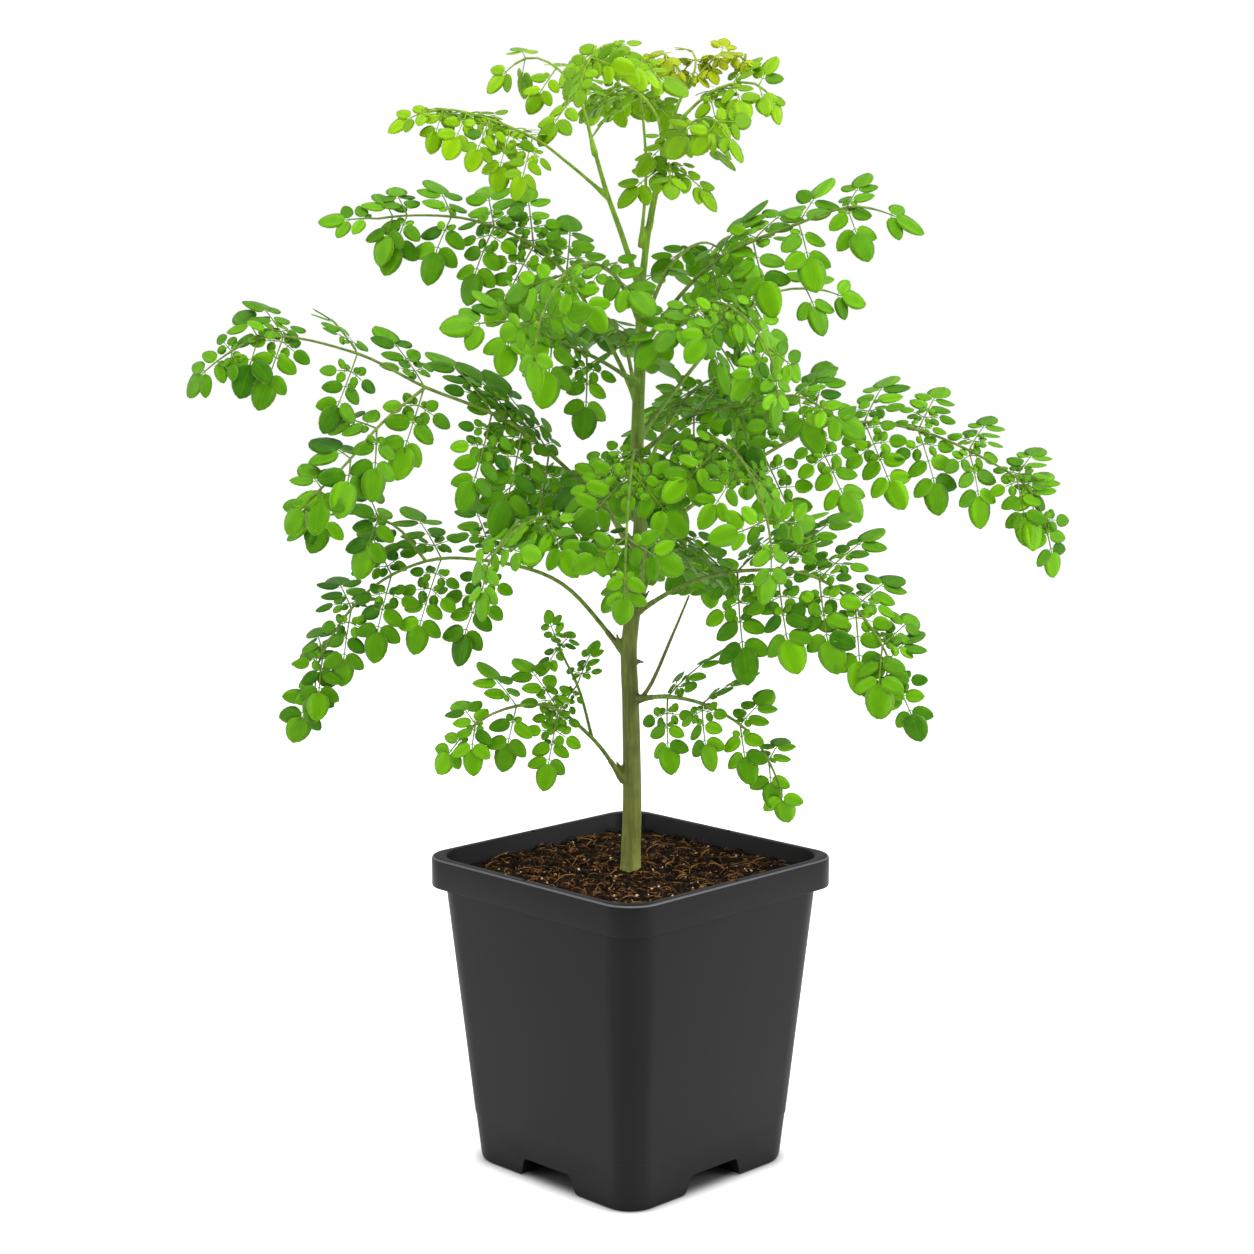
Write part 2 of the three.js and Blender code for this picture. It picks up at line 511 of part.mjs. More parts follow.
// Puts a group on a stalk at the least swing that clears its neighbours, or leaves it out where none
// does. Returns the room that it takes up.
function placeGroup(stalk, place, near) {
  const outline = groupOutline(place);
  for (const swing of SWINGS) {
    const room = plateOf(groupPoints(place, swing, clearOutline(outline), CLEAR_BLADE));
    if (near.some((other) => touches(other, room))) continue;
    stalk.groups.push({ place, points: groupPoints(place, swing, outline, BLADE) });
    return [room];
  }
  return [];
}

// Every stalk is laid down before the first leaflet group, so that the groups clear them all.
function makeLeaves(leaves) {
  const grown = leaves.map((leaf) => {
    const stalks = stalksOf(leaf);
    const bare = stalks.map(({ curve, foot, tip }) => solidOf(bentRod(curve, foot, tip, 4, 5)));
    return { leaf, stalks, bare: wasm.Manifold.union(bare), rooms: [] };
  });
  for (const own of grown) {
    const others = grown.filter((g) => g !== own);
    for (const stalk of own.stalks) {
      for (const place of groupPlaces(stalk)) {
        const near = [stem, ...own.rooms, ...others.flatMap((g) => [g.bare, ...g.rooms])];
        own.rooms.push(...placeGroup(stalk, place, near));
      }
    }
  }
  return grown.map(({ leaf, stalks }) => {
    const plates = stalks.map(leafPlate);
    return [leaf, largest(wasm.Manifold.union(plates).subtract(stemHole))];
  });
}

const tree = new THREE.Group();
tree.rotation.z = VIEW_TURN;

function addMesh(parent, name, solid, look) {
  const mesh = new THREE.Mesh(geometryOf(solid), material(look));
  mesh.name = name;
  parent.add(mesh);
}

const leaves = makeLeaves([...LEAVES, SHOOT]);
addMesh(tree, "stem", stem, BARK);
for (const [leaf, solid] of leaves) addMesh(tree, leaf.name, solid, leaf.look);

const pottedMoringa = new THREE.Group();
addMesh(pottedMoringa, "pot", makePot(), PLASTIC);
addMesh(pottedMoringa, "soil", makeSoil(stemHole), SOIL);
pottedMoringa.add(tree);

export default pottedMoringa;
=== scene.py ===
# %% [markdown]
# # A young moringa in a nursery pot
#
# The plant was first built as plain solids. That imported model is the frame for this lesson: it
# says where the pot, the soil, the stem and every leaf stand. Here each of them gets its real
# surface, and hides the plain solid that it stands for. Everything is in metres, +Z is up, and the
# origin is under the middle of the pot.

# %% Load the frame
import json
import math
import bmesh
import bpy
import numpy as np
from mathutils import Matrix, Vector
from mathutils.bvhtree import BVHTree

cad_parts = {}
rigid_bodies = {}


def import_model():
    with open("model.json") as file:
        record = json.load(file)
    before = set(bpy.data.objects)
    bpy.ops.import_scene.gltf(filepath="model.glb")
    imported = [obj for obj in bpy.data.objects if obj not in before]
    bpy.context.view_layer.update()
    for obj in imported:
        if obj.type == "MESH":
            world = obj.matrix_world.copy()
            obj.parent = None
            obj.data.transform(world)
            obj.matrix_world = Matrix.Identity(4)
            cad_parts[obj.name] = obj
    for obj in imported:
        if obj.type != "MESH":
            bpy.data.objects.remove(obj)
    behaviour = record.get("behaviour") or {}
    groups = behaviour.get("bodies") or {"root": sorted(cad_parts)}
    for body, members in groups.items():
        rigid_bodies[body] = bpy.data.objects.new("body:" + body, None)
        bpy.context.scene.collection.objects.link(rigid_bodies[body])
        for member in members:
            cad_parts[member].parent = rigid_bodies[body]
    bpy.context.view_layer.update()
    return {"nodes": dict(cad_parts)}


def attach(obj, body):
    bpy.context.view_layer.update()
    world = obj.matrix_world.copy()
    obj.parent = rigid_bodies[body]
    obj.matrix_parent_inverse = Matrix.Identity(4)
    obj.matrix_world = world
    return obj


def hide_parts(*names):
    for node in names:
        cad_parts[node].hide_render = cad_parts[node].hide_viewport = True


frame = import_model()
print("nodes:", len(frame["nodes"]))

# %% [markdown]
# ## The camera
#
# The picture looks at one corner of the pot, a little from above, through a long lens. The long
# lens was chosen because the pot's far corner is hardly smaller than its near one.

# %% Camera
PHOTO_SIDE = 1254
VIEW_TURN = math.radians(45)


def aim_camera(target, distance, elevation, lens, aside):
    """A camera that looks at the target from the pot's front corner."""
    back = Vector((
        math.sin(VIEW_TURN) * math.cos(elevation),
        -math.cos(VIEW_TURN) * math.cos(elevation),
        math.sin(elevation),
    ))
    data = bpy.data.cameras.new("camera")
    data.lens = lens
    data.sensor_width = 36
    data.shift_x = aside / PHOTO_SIDE
    camera = bpy.data.objects.new("camera", data)
    camera.location = Vector(target) + back * distance
    camera.rotation_euler = (-back).to_track_quat("-Z", "Y").to_euler()
    bpy.context.collection.objects.link(camera)
    bpy.context.scene.camera = camera
    return camera


camera = aim_camera(
    target=(0, 0, 0.332), distance=1.5, elevation=math.radians(8.7), lens=71.8, aside=-3.5,
)
print("camera at", tuple(round(c, 3) for c in camera.location))

# %% [markdown]
# ## Light and floor
#
# A plant on white is lit by a big soft box on either side and one above, with less light from
# where the camera stands. The black pot shows it: its two sides catch the boxes, and the round
# corner between them stays dark. The floor is a plain white sheet. The room's walls give the plant
# less light than the white that is seen behind it, as in a studio where the sheet behind the plant
# has lamps of its own.

# %% Light and floor
PLANT_MIDDLE = Vector((0, 0, 0.35))


def soft_box(name, azimuth, height, reach, size, power):
    """A square lamp at a height, aimed at the middle of the plant."""
    data = bpy.data.lights.new(name, "AREA")
    data.shape = "SQUARE"
    data.size = size
    data.energy = power
    lamp = bpy.data.objects.new(name, data)
    turn = math.radians(azimuth)
    lamp.location = (math.sin(turn) * reach, -math.cos(turn) * reach, height)
    aim = PLANT_MIDDLE - lamp.location
    lamp.rotation_euler = aim.to_track_quat("-Z", "Y").to_euler()
    bpy.context.collection.objects.link(lamp)


soft_box("right_box", azimuth=118, height=1.1, reach=2.0, size=1.4, power=40)
soft_box("left_box", azimuth=-32, height=1.1, reach=2.0, size=1.4, power=23)
soft_box("top_box", azimuth=45, height=2.4, reach=0.6, size=1.6, power=46)

world = bpy.data.worlds.new("studio")
bpy.context.scene.world = world
world.use_nodes = True
tree = world.node_tree
walls = tree.nodes["Background"]
walls.inputs["Color"].default_value = (1, 1, 1, 1)
walls.inputs["Strength"].default_value = 0.7
sheet = tree.nodes.new("ShaderNodeBackground")
sheet.inputs["Color"].default_value = (1, 1, 1, 1)
seen = tree.nodes.new("ShaderNodeLightPath")
either = tree.nodes.new("ShaderNodeMixShader")
tree.links.new(seen.outputs["Is Camera Ray"], either.inputs[0])
tree.links.new(walls.outputs[0], either.inputs[1])
tree.links.new(sheet.outputs[0], either.inputs[2])
tree.links.new(either.outputs[0], tree.nodes["World Output"].inputs["Surface"])
bpy.context.scene.view_settings.view_transform = "Standard"

bpy.ops.object.select_all(action="DESELECT")
bpy.ops.mesh.primitive_plane_add(size=12)
floor = bpy.context.object
floor.name = "floor"

# %% [markdown]
# ## Working by hand in code
#
# These few helpers do what the hand does in the window: select one object, pick points, edges or
# faces by their place, and apply a modifier. New primitives come selected all over, so a pick
# always lets go of everything first.

# %% Helpers
MM = 0.001


def take(piece):
    """Selects one object, and makes it the active one."""
    if bpy.context.mode != "OBJECT":
        bpy.ops.object.mode_set(mode="OBJECT")
    bpy.ops.object.select_all(action="DESELECT")
    piece.select_set(True)
    bpy.context.view_layer.objects.active = piece


def edit(piece):
    take(piece)
    bpy.ops.object.mode_set(mode="EDIT")


def pick(kind, test):
    """Selects only the points, edges or faces whose middle passes the test."""
    bpy.ops.mesh.select_mode(type=kind)
    bpy.ops.mesh.select_all(action="DESELECT")
    mesh = bpy.context.object.data
    shape = bmesh.from_edit_mesh(mesh)
    parts = {"VERT": shape.verts, "EDGE": shape.edges, "FACE": shape.faces}[kind]
    count = 0
    for part in parts:
        points = [part.co] if kind == "VERT" else [v.co for v in part.verts]
        if test(sum(points, Vector()) / len(points)):
            part.select_set(True)
            count += 1
    shape.select_flush_mode()
    bmesh.update_edit_mesh(mesh)
    return count


def done():
    bpy.ops.object.mode_set(mode="OBJECT")


def face_outwards():
    """Turns every face of the piece in hand outwards, and lets go of it."""
    bpy.ops.mesh.select_all(action="SELECT")
    bpy.ops.mesh.normals_make_consistent(inside=False)
    done()


def primitive(name, make, **settings):
    """One of Blender's own shapes, with its place moved into its mesh."""
    bpy.ops.object.select_all(action="DESELECT")
    make(**settings)
    piece = bpy.context.object
    piece.name = name
    piece.data.name = name
    bpy.ops.object.transform_apply(location=True, rotation=True, scale=True)
    return piece


def piece_from(name, data):
    """A new object in the scene that shows the data."""
    piece = bpy.data.objects.new(name, data)
    bpy.context.collection.objects.link(piece)
    return piece


def modify(piece, kind, **settings):
    """Gives the piece a modifier and applies it."""
    take(piece)
    modifier = piece.modifiers.new(kind.lower(), kind)
    for key, value in settings.items():
        setattr(modifier, key, value)
    bpy.ops.object.modifier_apply(modifier=modifier.name)


def combine(piece, tool, how):
    """Joins, cuts or keeps what is common, and uses the tool up."""
    modify(piece, "BOOLEAN", operation=how, solver="EXACT", object=tool)
    bpy.data.objects.remove(tool)


def smooth_below(piece, degrees):
    """Shades the piece smooth where its faces meet at less than an angle."""
    take(piece)
    bpy.ops.object.shade_smooth_by_angle(angle=math.radians(degrees))


def set_finishes(piece, *finishes):
    piece.data.materials.clear()
    for finish in finishes:
        piece.data.materials.append(finish)


def faces_of(piece):
    return sum(len(face.vertices) - 2 for face in piece.data.polygons)


# %% [markdown]
# ## Building a finish
#
# A finish is a small tree of nodes. These helpers add a node, give its sockets numbers or links,
# and turn a colour as it is read off a screen into the linear one that the shader wants.

# %% Helpers for materials
def tone(red, green, blue):
    """A screen colour from 0 to 255 as a linear colour."""
    linear = [c / 12.92 if c <= 0.04045 else ((c + 0.055) / 1.055) ** 2.4
              for c in (red / 255, green / 255, blue / 255)]
    return (*linear, 1.0)


def new_finish(name, roughness, specular):
    """A material and its shader. A linked roughness overrides the number."""
    finish = bpy.data.materials.new(name)
    finish.use_nodes = True
    shader = finish.node_tree.nodes["Principled BSDF"]
    shader.inputs["Roughness"].default_value = roughness
    shader.inputs["Specular IOR Level"].default_value = specular
    return finish, shader


def add(finish, kind, sockets=None, **settings):
    """A node, with the sockets given set to a number or linked to another node's output."""
    node = finish.node_tree.nodes.new("ShaderNode" + kind)
    for key, value in settings.items():
        setattr(node, key, value)
    for key, value in (sockets or {}).items():
        if isinstance(value, bpy.types.NodeSocket):
            finish.node_tree.links.new(value, node.inputs[key])
        else:
            node.inputs[key].default_value = value
    return node


def link(finish, output, node, socket):
    finish.node_tree.links.new(output, node.inputs[socket])


def ramp(finish, factor, stops):
    """A colour ramp from (place, colour) stops."""
    node = add(finish, "ValToRGB", {"Fac": factor})
    band = node.color_ramp
    while len(band.elements) < len(stops):
        band.elements.new(0.5)
    for element, (place, color) in zip(band.elements, stops):
        element.position = place
        element.color = color
    return node.outputs["Color"]


def blend(finish, factor, first, second, how="MIX"):
    """Mixes two colours. Each is a link or a colour."""
    node = add(finish, "Mix", data_type="RGBA", blend_type=how)
    for index, value in ((0, factor), (6, first), (7, second)):
        if isinstance(value, bpy.types.NodeSocket):
            finish.node_tree.links.new(value, node.inputs[index])
        else:
            node.inputs[index].default_value = value
    return node.outputs[2]


def bump(finish, shader, height, strength, distance):
    node = add(finish, "Bump", {"Height": height, "Strength": strength, "Distance": distance})
    link(finish, node.outputs["Normal"], shader, "Normal")


def place(finish):
    """Where on the piece a point lies, in metres."""
    return add(finish, "TexCoord").outputs["Object"]


def noise(finish, where, scale, detail):
    node = add(finish, "TexNoise", {"Vector": where, "Scale": scale, "Detail": detail})
    return node.outputs["Fac"]


def calc(finish, how, *values):
    """The result of one operation on one or two values."""
    return add(finish, "Math", dict(enumerate(values)), operation=how).outputs[0]


def fade(finish, value, start, stop, low=0.0, high=1.0, **settings):
    """Goes from low to high while the value goes from start to stop."""
    sockets = {"Value": value, "From Min": start, "From Max": stop, "To Min": low, "To Max": high}
    return add(finish, "MapRange", sockets, **settings).outputs["Result"]


# %% [markdown]
# The white sheet glows a little, so that it ends up as white as what is behind it. Right under
# the pot, where no lamp reaches it, its glow and its colour are painted dark: a painted shadow in
# a square with round corners that ends just past the pot's sides. Without that the channels under
# the pot would be lit from below.

# %% Floor finish
UNDER_POT = 0.051
PAINTED_SHADOW_FROM = 0.009
PAINTED_SHADOW_TO = 0.031
sheet_white, shader = new_finish("white_sheet", roughness=0.9, specular=0.0)
shader.inputs["Emission Color"].default_value = (1, 1, 1, 1)
apart = add(sheet_white, "SeparateXYZ", {"Vector": place(sheet_white)})
past = {}
for axis in ("X", "Y"):
    out = calc(sheet_white, "ABSOLUTE", apart.outputs[axis])
    out = calc(sheet_white, "SUBTRACT", out, UNDER_POT)
    past[axis] = calc(sheet_white, "MAXIMUM", out, 0.0)
corner = add(sheet_white, "CombineXYZ", past).outputs[0]
far = add(sheet_white, "VectorMath", {0: corner}, operation="LENGTH").outputs["Value"]
# Painted shadow: under the pot the glow goes to nothing and the colour to dark grey.
for socket, under, around in (("Emission Strength", 0.0, 0.42), ("Base Color", 0.12, 0.8)):
    shade = fade(sheet_white, far, PAINTED_SHADOW_FROM, PAINTED_SHADOW_TO, under, around,
                 interpolation_type="SMOOTHSTEP")
    link(sheet_white, shade, shader, socket)
set_finishes(floor, sheet_white)
print("the sheet is white from", UNDER_POT + PAINTED_SHADOW_TO, "m out")

# %% [markdown]
# ## The pot
#
# A nursery pot is one thin wall of black plastic: a square body with round corners that tapers to
# four hollow feet, two channels that cross under its floor, and a rim turned down like a skirt.
# It could be lofted from sections, but here it is built as a moulder would cut its tool: a block
# for the body, a block for the rim, a block for the hollow, and the channels taken away.

# %% A block with round corners
POT_HEIGHT = 192
RIM_SIDE = 182.6
RIM_CORNER = 20
RIM_DEPTH = 18.5
SKIRT_WALL = 2
BODY_TOP = 174.5
BODY_BOTTOM = 140.7
BODY_CORNER = 19
WALL = 1.8
FOOT_ROUND = 4
CORNER_STEPS = 9
LEVEL = 1e-6


def body_side(z):
    """The body's width at a height."""
    return BODY_BOTTOM + (BODY_TOP - BODY_BOTTOM) * z / POT_HEIGHT


def rounded_block(name, sections, corner):
    """A block through (height, side) sections, in millimetres, with round corners."""
    low, side = sections[0]
    block = primitive(name, bpy.ops.mesh.primitive_plane_add, size=side * MM,
                      location=(0, 0, low * MM))
    edit(block)
    bpy.ops.mesh.select_all(action="SELECT")
    bpy.ops.mesh.bevel(offset=corner * MM, segments=CORNER_STEPS, affect="VERTICES")
    for height, wider in sections[1:]:
        rise = (0, 0, (height - low) * MM)
        bpy.ops.mesh.extrude_region_move(TRANSFORM_OT_translate={"value": rise})
        grow = wider / side
        bpy.ops.transform.resize(value=(grow, grow, 1), center_override=(0, 0, height * MM))
        low, side = height, wider
    face_outwards()
    return block


def foot_sections(steps):
    """The quarter round at the bottom of the body."""
    for i in range(steps + 1):
        turn = math.pi / 2 * i / steps
        rise = FOOT_ROUND * (1 - math.cos(turn))
        drawn_in = (FOOT_ROUND / 2) * (1 - math.sin(turn))
        yield rise, body_side(rise) - 2 * drawn_in


STEP_HEIGHT = 30
STEP = 0.35
STEP_RISE = 0.6
UNDER_LIP = POT_HEIGHT - 3
body_sections = [(z, side - 2 * STEP) for z, side in foot_sections(5)]
body_sections += [
    (STEP_HEIGHT - STEP_RISE, body_side(STEP_HEIGHT) - 2 * STEP),
    (STEP_HEIGHT, body_side(STEP_HEIGHT)),
    (UNDER_LIP, body_side(UNDER_LIP)),
]
pot = rounded_block("nursery_pot", body_sections, BODY_CORNER - FOOT_ROUND / 2)
print("pot body:", [round(d * 1000, 1) for d in pot.dimensions], "mm")

# %% [markdown]
# The rim is a second block over the body. Its top edge is rounded by more than its lower one, as
# on the real pot, where the top edge catches a line of light. The gap between the skirt and the
# body is a third block, taken out before the body is put back.

# %% The rim
def edges_at(height, reach):
    """The edges of a level loop at a height, as far out as reach."""
    return lambda middle: (
        abs(middle.z - height * MM) < LEVEL
        and max(abs(middle.x), abs(middle.y)) > reach * MM
    )


EDGE_ROUND = 1.7
LOW_EDGE_ROUND = 0.7
rim_low = POT_HEIGHT - RIM_DEPTH
rim = rounded_block("rim", [(rim_low, RIM_SIDE), (POT_HEIGHT, RIM_SIDE)], RIM_CORNER)
edit(rim)
for height, size, steps in ((POT_HEIGHT, EDGE_ROUND, 4), (rim_low, LOW_EDGE_ROUND, 2)):
    pick("EDGE", edges_at(height, RIM_SIDE / 2 - RIM_CORNER))
    bpy.ops.mesh.bevel(offset=size * MM, segments=steps, affect="EDGES")
done()

skirt_inside = RIM_SIDE - 2 * SKIRT_WALL
under_rim = rounded_block(
    "under_rim",
    [(rim_low - 1, skirt_inside), (POT_HEIGHT - 2 * SKIRT_WALL, skirt_inside - 1)],
    RIM_CORNER - SKIRT_WALL,
)
combine(rim, under_rim, "DIFFERENCE")
combine(pot, rim, "UNION")
print("pot with rim:", [round(d * 1000, 1) for d in pot.dimensions], "mm")

# %% [markdown]
# The channels under the floor let the water out. The cutter has the shape of the air in a channel:
# rounded at its top, and flared where it meets the ground, which rounds the feet. Soil and the
# hollow of the pot both stop short of it, so the same cutter is made with some extra on each side.

# %% Channels, hollow and drain holes
CHANNEL_HEIGHT = 12.5
CHANNEL_HALF = [(27.5, -1), (27.5, 0), (25.2, 0.4), (23.8, 1.6), (23.0, 3.6), (20.6, 9.8),
                (20.1, 11.2), (19.1, 12.2), (17.6, 12.5)]
DRAINS = [(0, 0), (38, 0), (-38, 0), (0, 38), (0, -38)]
DRAIN_RADIUS = 5.5
DRAIN_DEPTH = 12


def channel(extra, across):
    """One channel's air, grown by some extra on each side."""
    cutter = primitive("channel", bpy.ops.mesh.primitive_circle_add,
                       vertices=2 * len(CHANNEL_HALF), radius=MM, fill_type="NGON")
    right = [(x + extra, z + (extra if z > 0 else 0)) for x, z in CHANNEL_HALF]
    outline = right + [(-x, z) for x, z in reversed(right)]
    for vertex, (x, z) in zip(cutter.data.vertices, outline):
        vertex.co = (x * MM, -RIM_SIDE / 2 * MM, z * MM)
    edit(cutter)
    bpy.ops.mesh.select_all(action="SELECT")
    bpy.ops.mesh.extrude_region_move(TRANSFORM_OT_translate={"value": (0, RIM_SIDE * MM, 0)})
    face_outwards()
    if across:
        cutter.rotation_euler.z = math.pi / 2
        bpy.ops.object.transform_apply(location=False, rotation=True, scale=False)
    return cutter


def cut_channels(piece, extra):
    for across in (False, True):
        combine(piece, channel(extra, across), "DIFFERENCE")
    return piece


def hollow(name, inset, top):
    """The room inside the pot's walls, drawn in on every side."""
    low = WALL + inset
    sections = [(z, body_side(z) - 2 * low) for z in (low, top)]
    return cut_channels(rounded_block(name, sections, BODY_CORNER - WALL), low)


combine(pot, hollow("room", 0, POT_HEIGHT + 1), "DIFFERENCE")
cut_channels(pot, 0)
for x, y in DRAINS:
    drain = primitive(
        "drain", bpy.ops.mesh.primitive_cylinder_add, vertices=24, radius=DRAIN_RADIUS * MM,
        depth=DRAIN_DEPTH * MM, location=(x * MM, y * MM, (CHANNEL_HEIGHT + 1) * MM),
    )
    combine(pot, drain, "DIFFERENCE")
print("pot faces:", faces_of(pot), "points:", len(pot.data.vertices))

# %% [markdown]
# The lip's inner edge is worn round as well, and in the middle of each side the mould left a small
# nick in the lip. The edges are picked by their place: level with the top and no further out than
# the wall.

# %% The lip
LIP_ROUND = 0.9
NICK_RADIUS = 1.5
NICK_LENGTH = 3.4
NICK_OUT = BODY_TOP / 2 - WALL + 1.7


def past_rim_corner(point):
    """How far out a point lies from the middle of the rim's round corners, in millimetres."""
    start = RIM_SIDE / 2 - RIM_CORNER
    return math.hypot(*[max(abs(c) / MM - start, 0) for c in (point.x, point.y)])


def inner_edge(middle):
    return abs(middle.z - POT_HEIGHT * MM) < LEVEL and past_rim_corner(middle) < RIM_CORNER - 4


edit(pot)
bpy.ops.mesh.select_all(action="SELECT")
bpy.ops.mesh.remove_doubles(threshold=LEVEL)
print("inner lip edges:", pick("EDGE", inner_edge))
bpy.ops.mesh.bevel(offset=LIP_ROUND * MM, segments=3, affect="EDGES")
done()
for x, y in ((1, 0), (-1, 0), (0, 1), (0, -1)):
    nick = primitive(
        "nick", bpy.ops.mesh.primitive_cylinder_add, vertices=12, radius=NICK_RADIUS * MM,
        depth=NICK_LENGTH * MM, rotation=(0, math.pi / 2, math.atan2(y, x)),
        location=(x * NICK_OUT * MM, y * NICK_OUT * MM, (POT_HEIGHT + 0.3) * MM),
    )
    combine(pot, nick, "DIFFERENCE")
smooth_below(pot, 28)
print("pot faces:", faces_of(pot))

# %% [markdown]
# The plastic is charcoal black with a satin skin. A moulded surface is never even: it has a very
# fine grain, and soft clouds where it cooled more slowly or was handled. Both are noise, one fine
# for the bump and one broad for the roughness. The rounded edges of the rim get a paler, shinier
# finish, a painted highlight for the line of light that they catch: they are the faces near its
# top that are neither level nor upright.

# %% Pot plastic
NEARLY_UPRIGHT, NEARLY_LEVEL = 0.25, 0.93
plastic, shader = new_finish("charcoal_plastic", roughness=0.5, specular=0.13)
where = place(plastic)
clouds = noise(plastic, where, 14.0, 3.0)
grain = noise(plastic, where, 1500.0, 2.0)
link(plastic, ramp(plastic, clouds, [(0.3, tone(11, 11, 12)), (0.75, tone(16, 16, 17))]),
     shader, "Base Color")
link(plastic, fade(plastic, clouds, 0.0, 1.0, 0.4, 0.54), shader, "Roughness")
bump(plastic, shader, grain, 0.25, 0.00008)
# Painted highlight: a paler grey, shinier finish on the rim's rounded top edges.
highlit, shader = new_finish("painted_edge_highlight", roughness=0.4, specular=0.3)
shader.inputs["Base Color"].default_value = tone(74, 75, 77)
set_finishes(pot, plastic, highlit)
lit_edge_faces = [face for face in pot.data.polygons
        if face.center.z > (POT_HEIGHT - EDGE_ROUND) * MM
        and NEARLY_UPRIGHT < face.normal.z < NEARLY_LEVEL
        and past_rim_corner(face.center) > RIM_CORNER - EDGE_ROUND]
for face in lit_edge_faces:
    face.material_index = 1
print("rubbed faces:", len(lit_edge_faces))
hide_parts("pot")
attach(pot, "root")

# %% [markdown]
# ## The soil
#
# Potting mix is dark, loose and crumbly, a little higher round the stem. It fills the pot, so it
# is a block with the shape of the hollow. Its top is a fine grid, pushed up and down by two
# layers of noise: hills of a few centimetres, and crumbs of a few millimetres.

# %% Soil
SOIL_LEVEL = 181
SEAT_GAP = 0.3
SOIL_CELLS = 110
SOIL_SIDE = 173
SOIL_NOISES = [("lumps", 0.011, 2.6), ("crumbs", 0.0042, 1.9), ("grains", 0.0018, 0.9)]


def soil_rise(x, y):
    """The mound and the broad hollows, in millimetres."""
    out = math.hypot(x, y) / (BODY_TOP / 2)
    hills = math.sin(0.23 * x + 1.1) * math.cos(0.19 * y - 0.4)
    hills += 0.7 * math.sin(0.41 * x - 0.33 * y)
    return 1.4 * (1 - out * out) + 1.1 * hills


def shift_points(piece, move):
    """Moves every point of a mesh by a rule."""
    for vertex in piece.data.vertices:
        vertex.co = move(vertex.co)
    piece.data.update()


soil = primitive(
    "potting_soil", bpy.ops.mesh.primitive_grid_add, x_subdivisions=SOIL_CELLS,
    y_subdivisions=SOIL_CELLS, size=SOIL_SIDE * MM, location=(0, 0, SOIL_LEVEL * MM),
)
shift_points(soil, lambda p: p + Vector((0, 0, soil_rise(p.x / MM, p.y / MM) * MM)))
for name, size, depth in SOIL_NOISES:
    texture = bpy.data.textures.new(name, "CLOUDS")
    texture.noise_scale = size
    texture.noise_depth = 1
    modify(soil, "DISPLACE", texture=texture, strength=depth * MM, mid_level=0.5, direction="Z",
           texture_coords="LOCAL")
edit(soil)
bpy.ops.mesh.select_all(action="SELECT")
bpy.ops.mesh.extrude_region_move(TRANSFORM_OT_translate={"value": (0, 0, -0.02)})
bpy.ops.transform.resize(value=(1, 1, 0), center_override=(0, 0, 0))
face_outwards()
combine(soil, hollow("fill", SEAT_GAP, POT_HEIGHT), "INTERSECT")
print("soil:", [round(d * 1000, 1) for d in soil.dimensions], "mm, faces:", faces_of(soil))

# %% [markdown]
# The mix gets its look from what lies on it: curls of orange-brown bark fibre, flat chips, dark
# crumbs and a few pale grains. One of each is modelled, in a few shapes, and then strewn over the
# surface with its own turn and size. The draw of places is seeded, so the result never changes.

# %% Bits of fibre, chips and grains
chance = np.random.default_rng(17)
CURL_STEPS = 6
FIBRES = [(9, 1.2, 1.4), (7, 2.6, 1.0), (12, 0.8, 1.8), (6, 3.6, 0.8)]


def mesh_arrays(piece):
    """A mesh's points, and its faces cut into triangles."""
    mesh = piece.data
    mesh.calc_loop_triangles()
    points = np.empty(len(mesh.vertices) * 3)
    mesh.vertices.foreach_get("co", points)
    corners = np.empty(len(mesh.loop_triangles) * 3, int)
    mesh.loop_triangles.foreach_get("vertices", corners)
    return points.reshape(-1, 3), corners.reshape(-1, 3)


def rods(name, lines, sides):
    """Round rods along lines of (point, radius), with closed ends, as one mesh."""
    data = bpy.data.curves.new(name, "CURVE")
    data.dimensions = "3D"
    data.bevel_depth = MM
    data.bevel_resolution = sides // 2 - 2
    data.use_fill_caps = True
    for line in lines:
        spline = data.splines.new("POLY")
        spline.points.add(len(line) - 1)
        for spot, (point, radius) in zip(spline.points, line):
            spot.co = (*[c * MM for c in point], 1)
            spot.radius = radius
    take(piece_from(name, data))
    bpy.ops.object.convert(target="MESH")
    rod = bpy.context.object
    edit(rod)
    bpy.ops.mesh.select_all(action="SELECT")
    bpy.ops.mesh.remove_doubles(threshold=LEVEL)
    face_outwards()
    return rod


def curl(length, turn, lift):
    """A curled fibre that starts at the origin, in millimetres."""
    reach = length / turn
    line = []
    for i in range(CURL_STEPS + 1):
        t = i / CURL_STEPS
        angle = turn * (t - 0.5)
        line.append(((reach * math.sin(angle), reach * (1 - math.cos(angle)),
                      lift * math.sin(math.pi * t)), 0.34 - 0.22 * abs(t - 0.4)))
    return line


def keep_shape(piece):
    """The arrays of a piece that is only needed as a pattern."""
    arrays = mesh_arrays(piece)
    bpy.data.objects.remove(piece)
    return arrays


fibres = [keep_shape(rods("fibre", [curl(*fibre)], 4)) for fibre in FIBRES]


def pebble(flat, rough):
    """A lump about 1 mm across: a rough ball, flattened by flat."""
    lump = primitive("lump", bpy.ops.mesh.primitive_ico_sphere_add, subdivisions=1, radius=MM / 2)
    edit(lump)
    bpy.ops.mesh.select_all(action="SELECT")
    bpy.ops.transform.resize(value=(1, 0.8, flat), center_override=(0, 0, 0))
    done()
    shift_points(lump, lambda p: p * (1 + rough * chance.uniform(-1, 1)))
    return keep_shape(lump)


lumps = [pebble(0.75, 0.25) for _ in range(3)]
chips = [pebble(0.28, 0.3) for _ in range(3)]
print("patterns:", len(fibres), "fibres,", len(lumps), "lumps,", len(chips), "chips")

# %% [markdown]
# Each bit is dropped on the soil. A place is drawn over the pot, a ray is sent down from it, and
# the bit lies where the ray meets the soil, sunk in a little. All bits of one kind become one mesh.

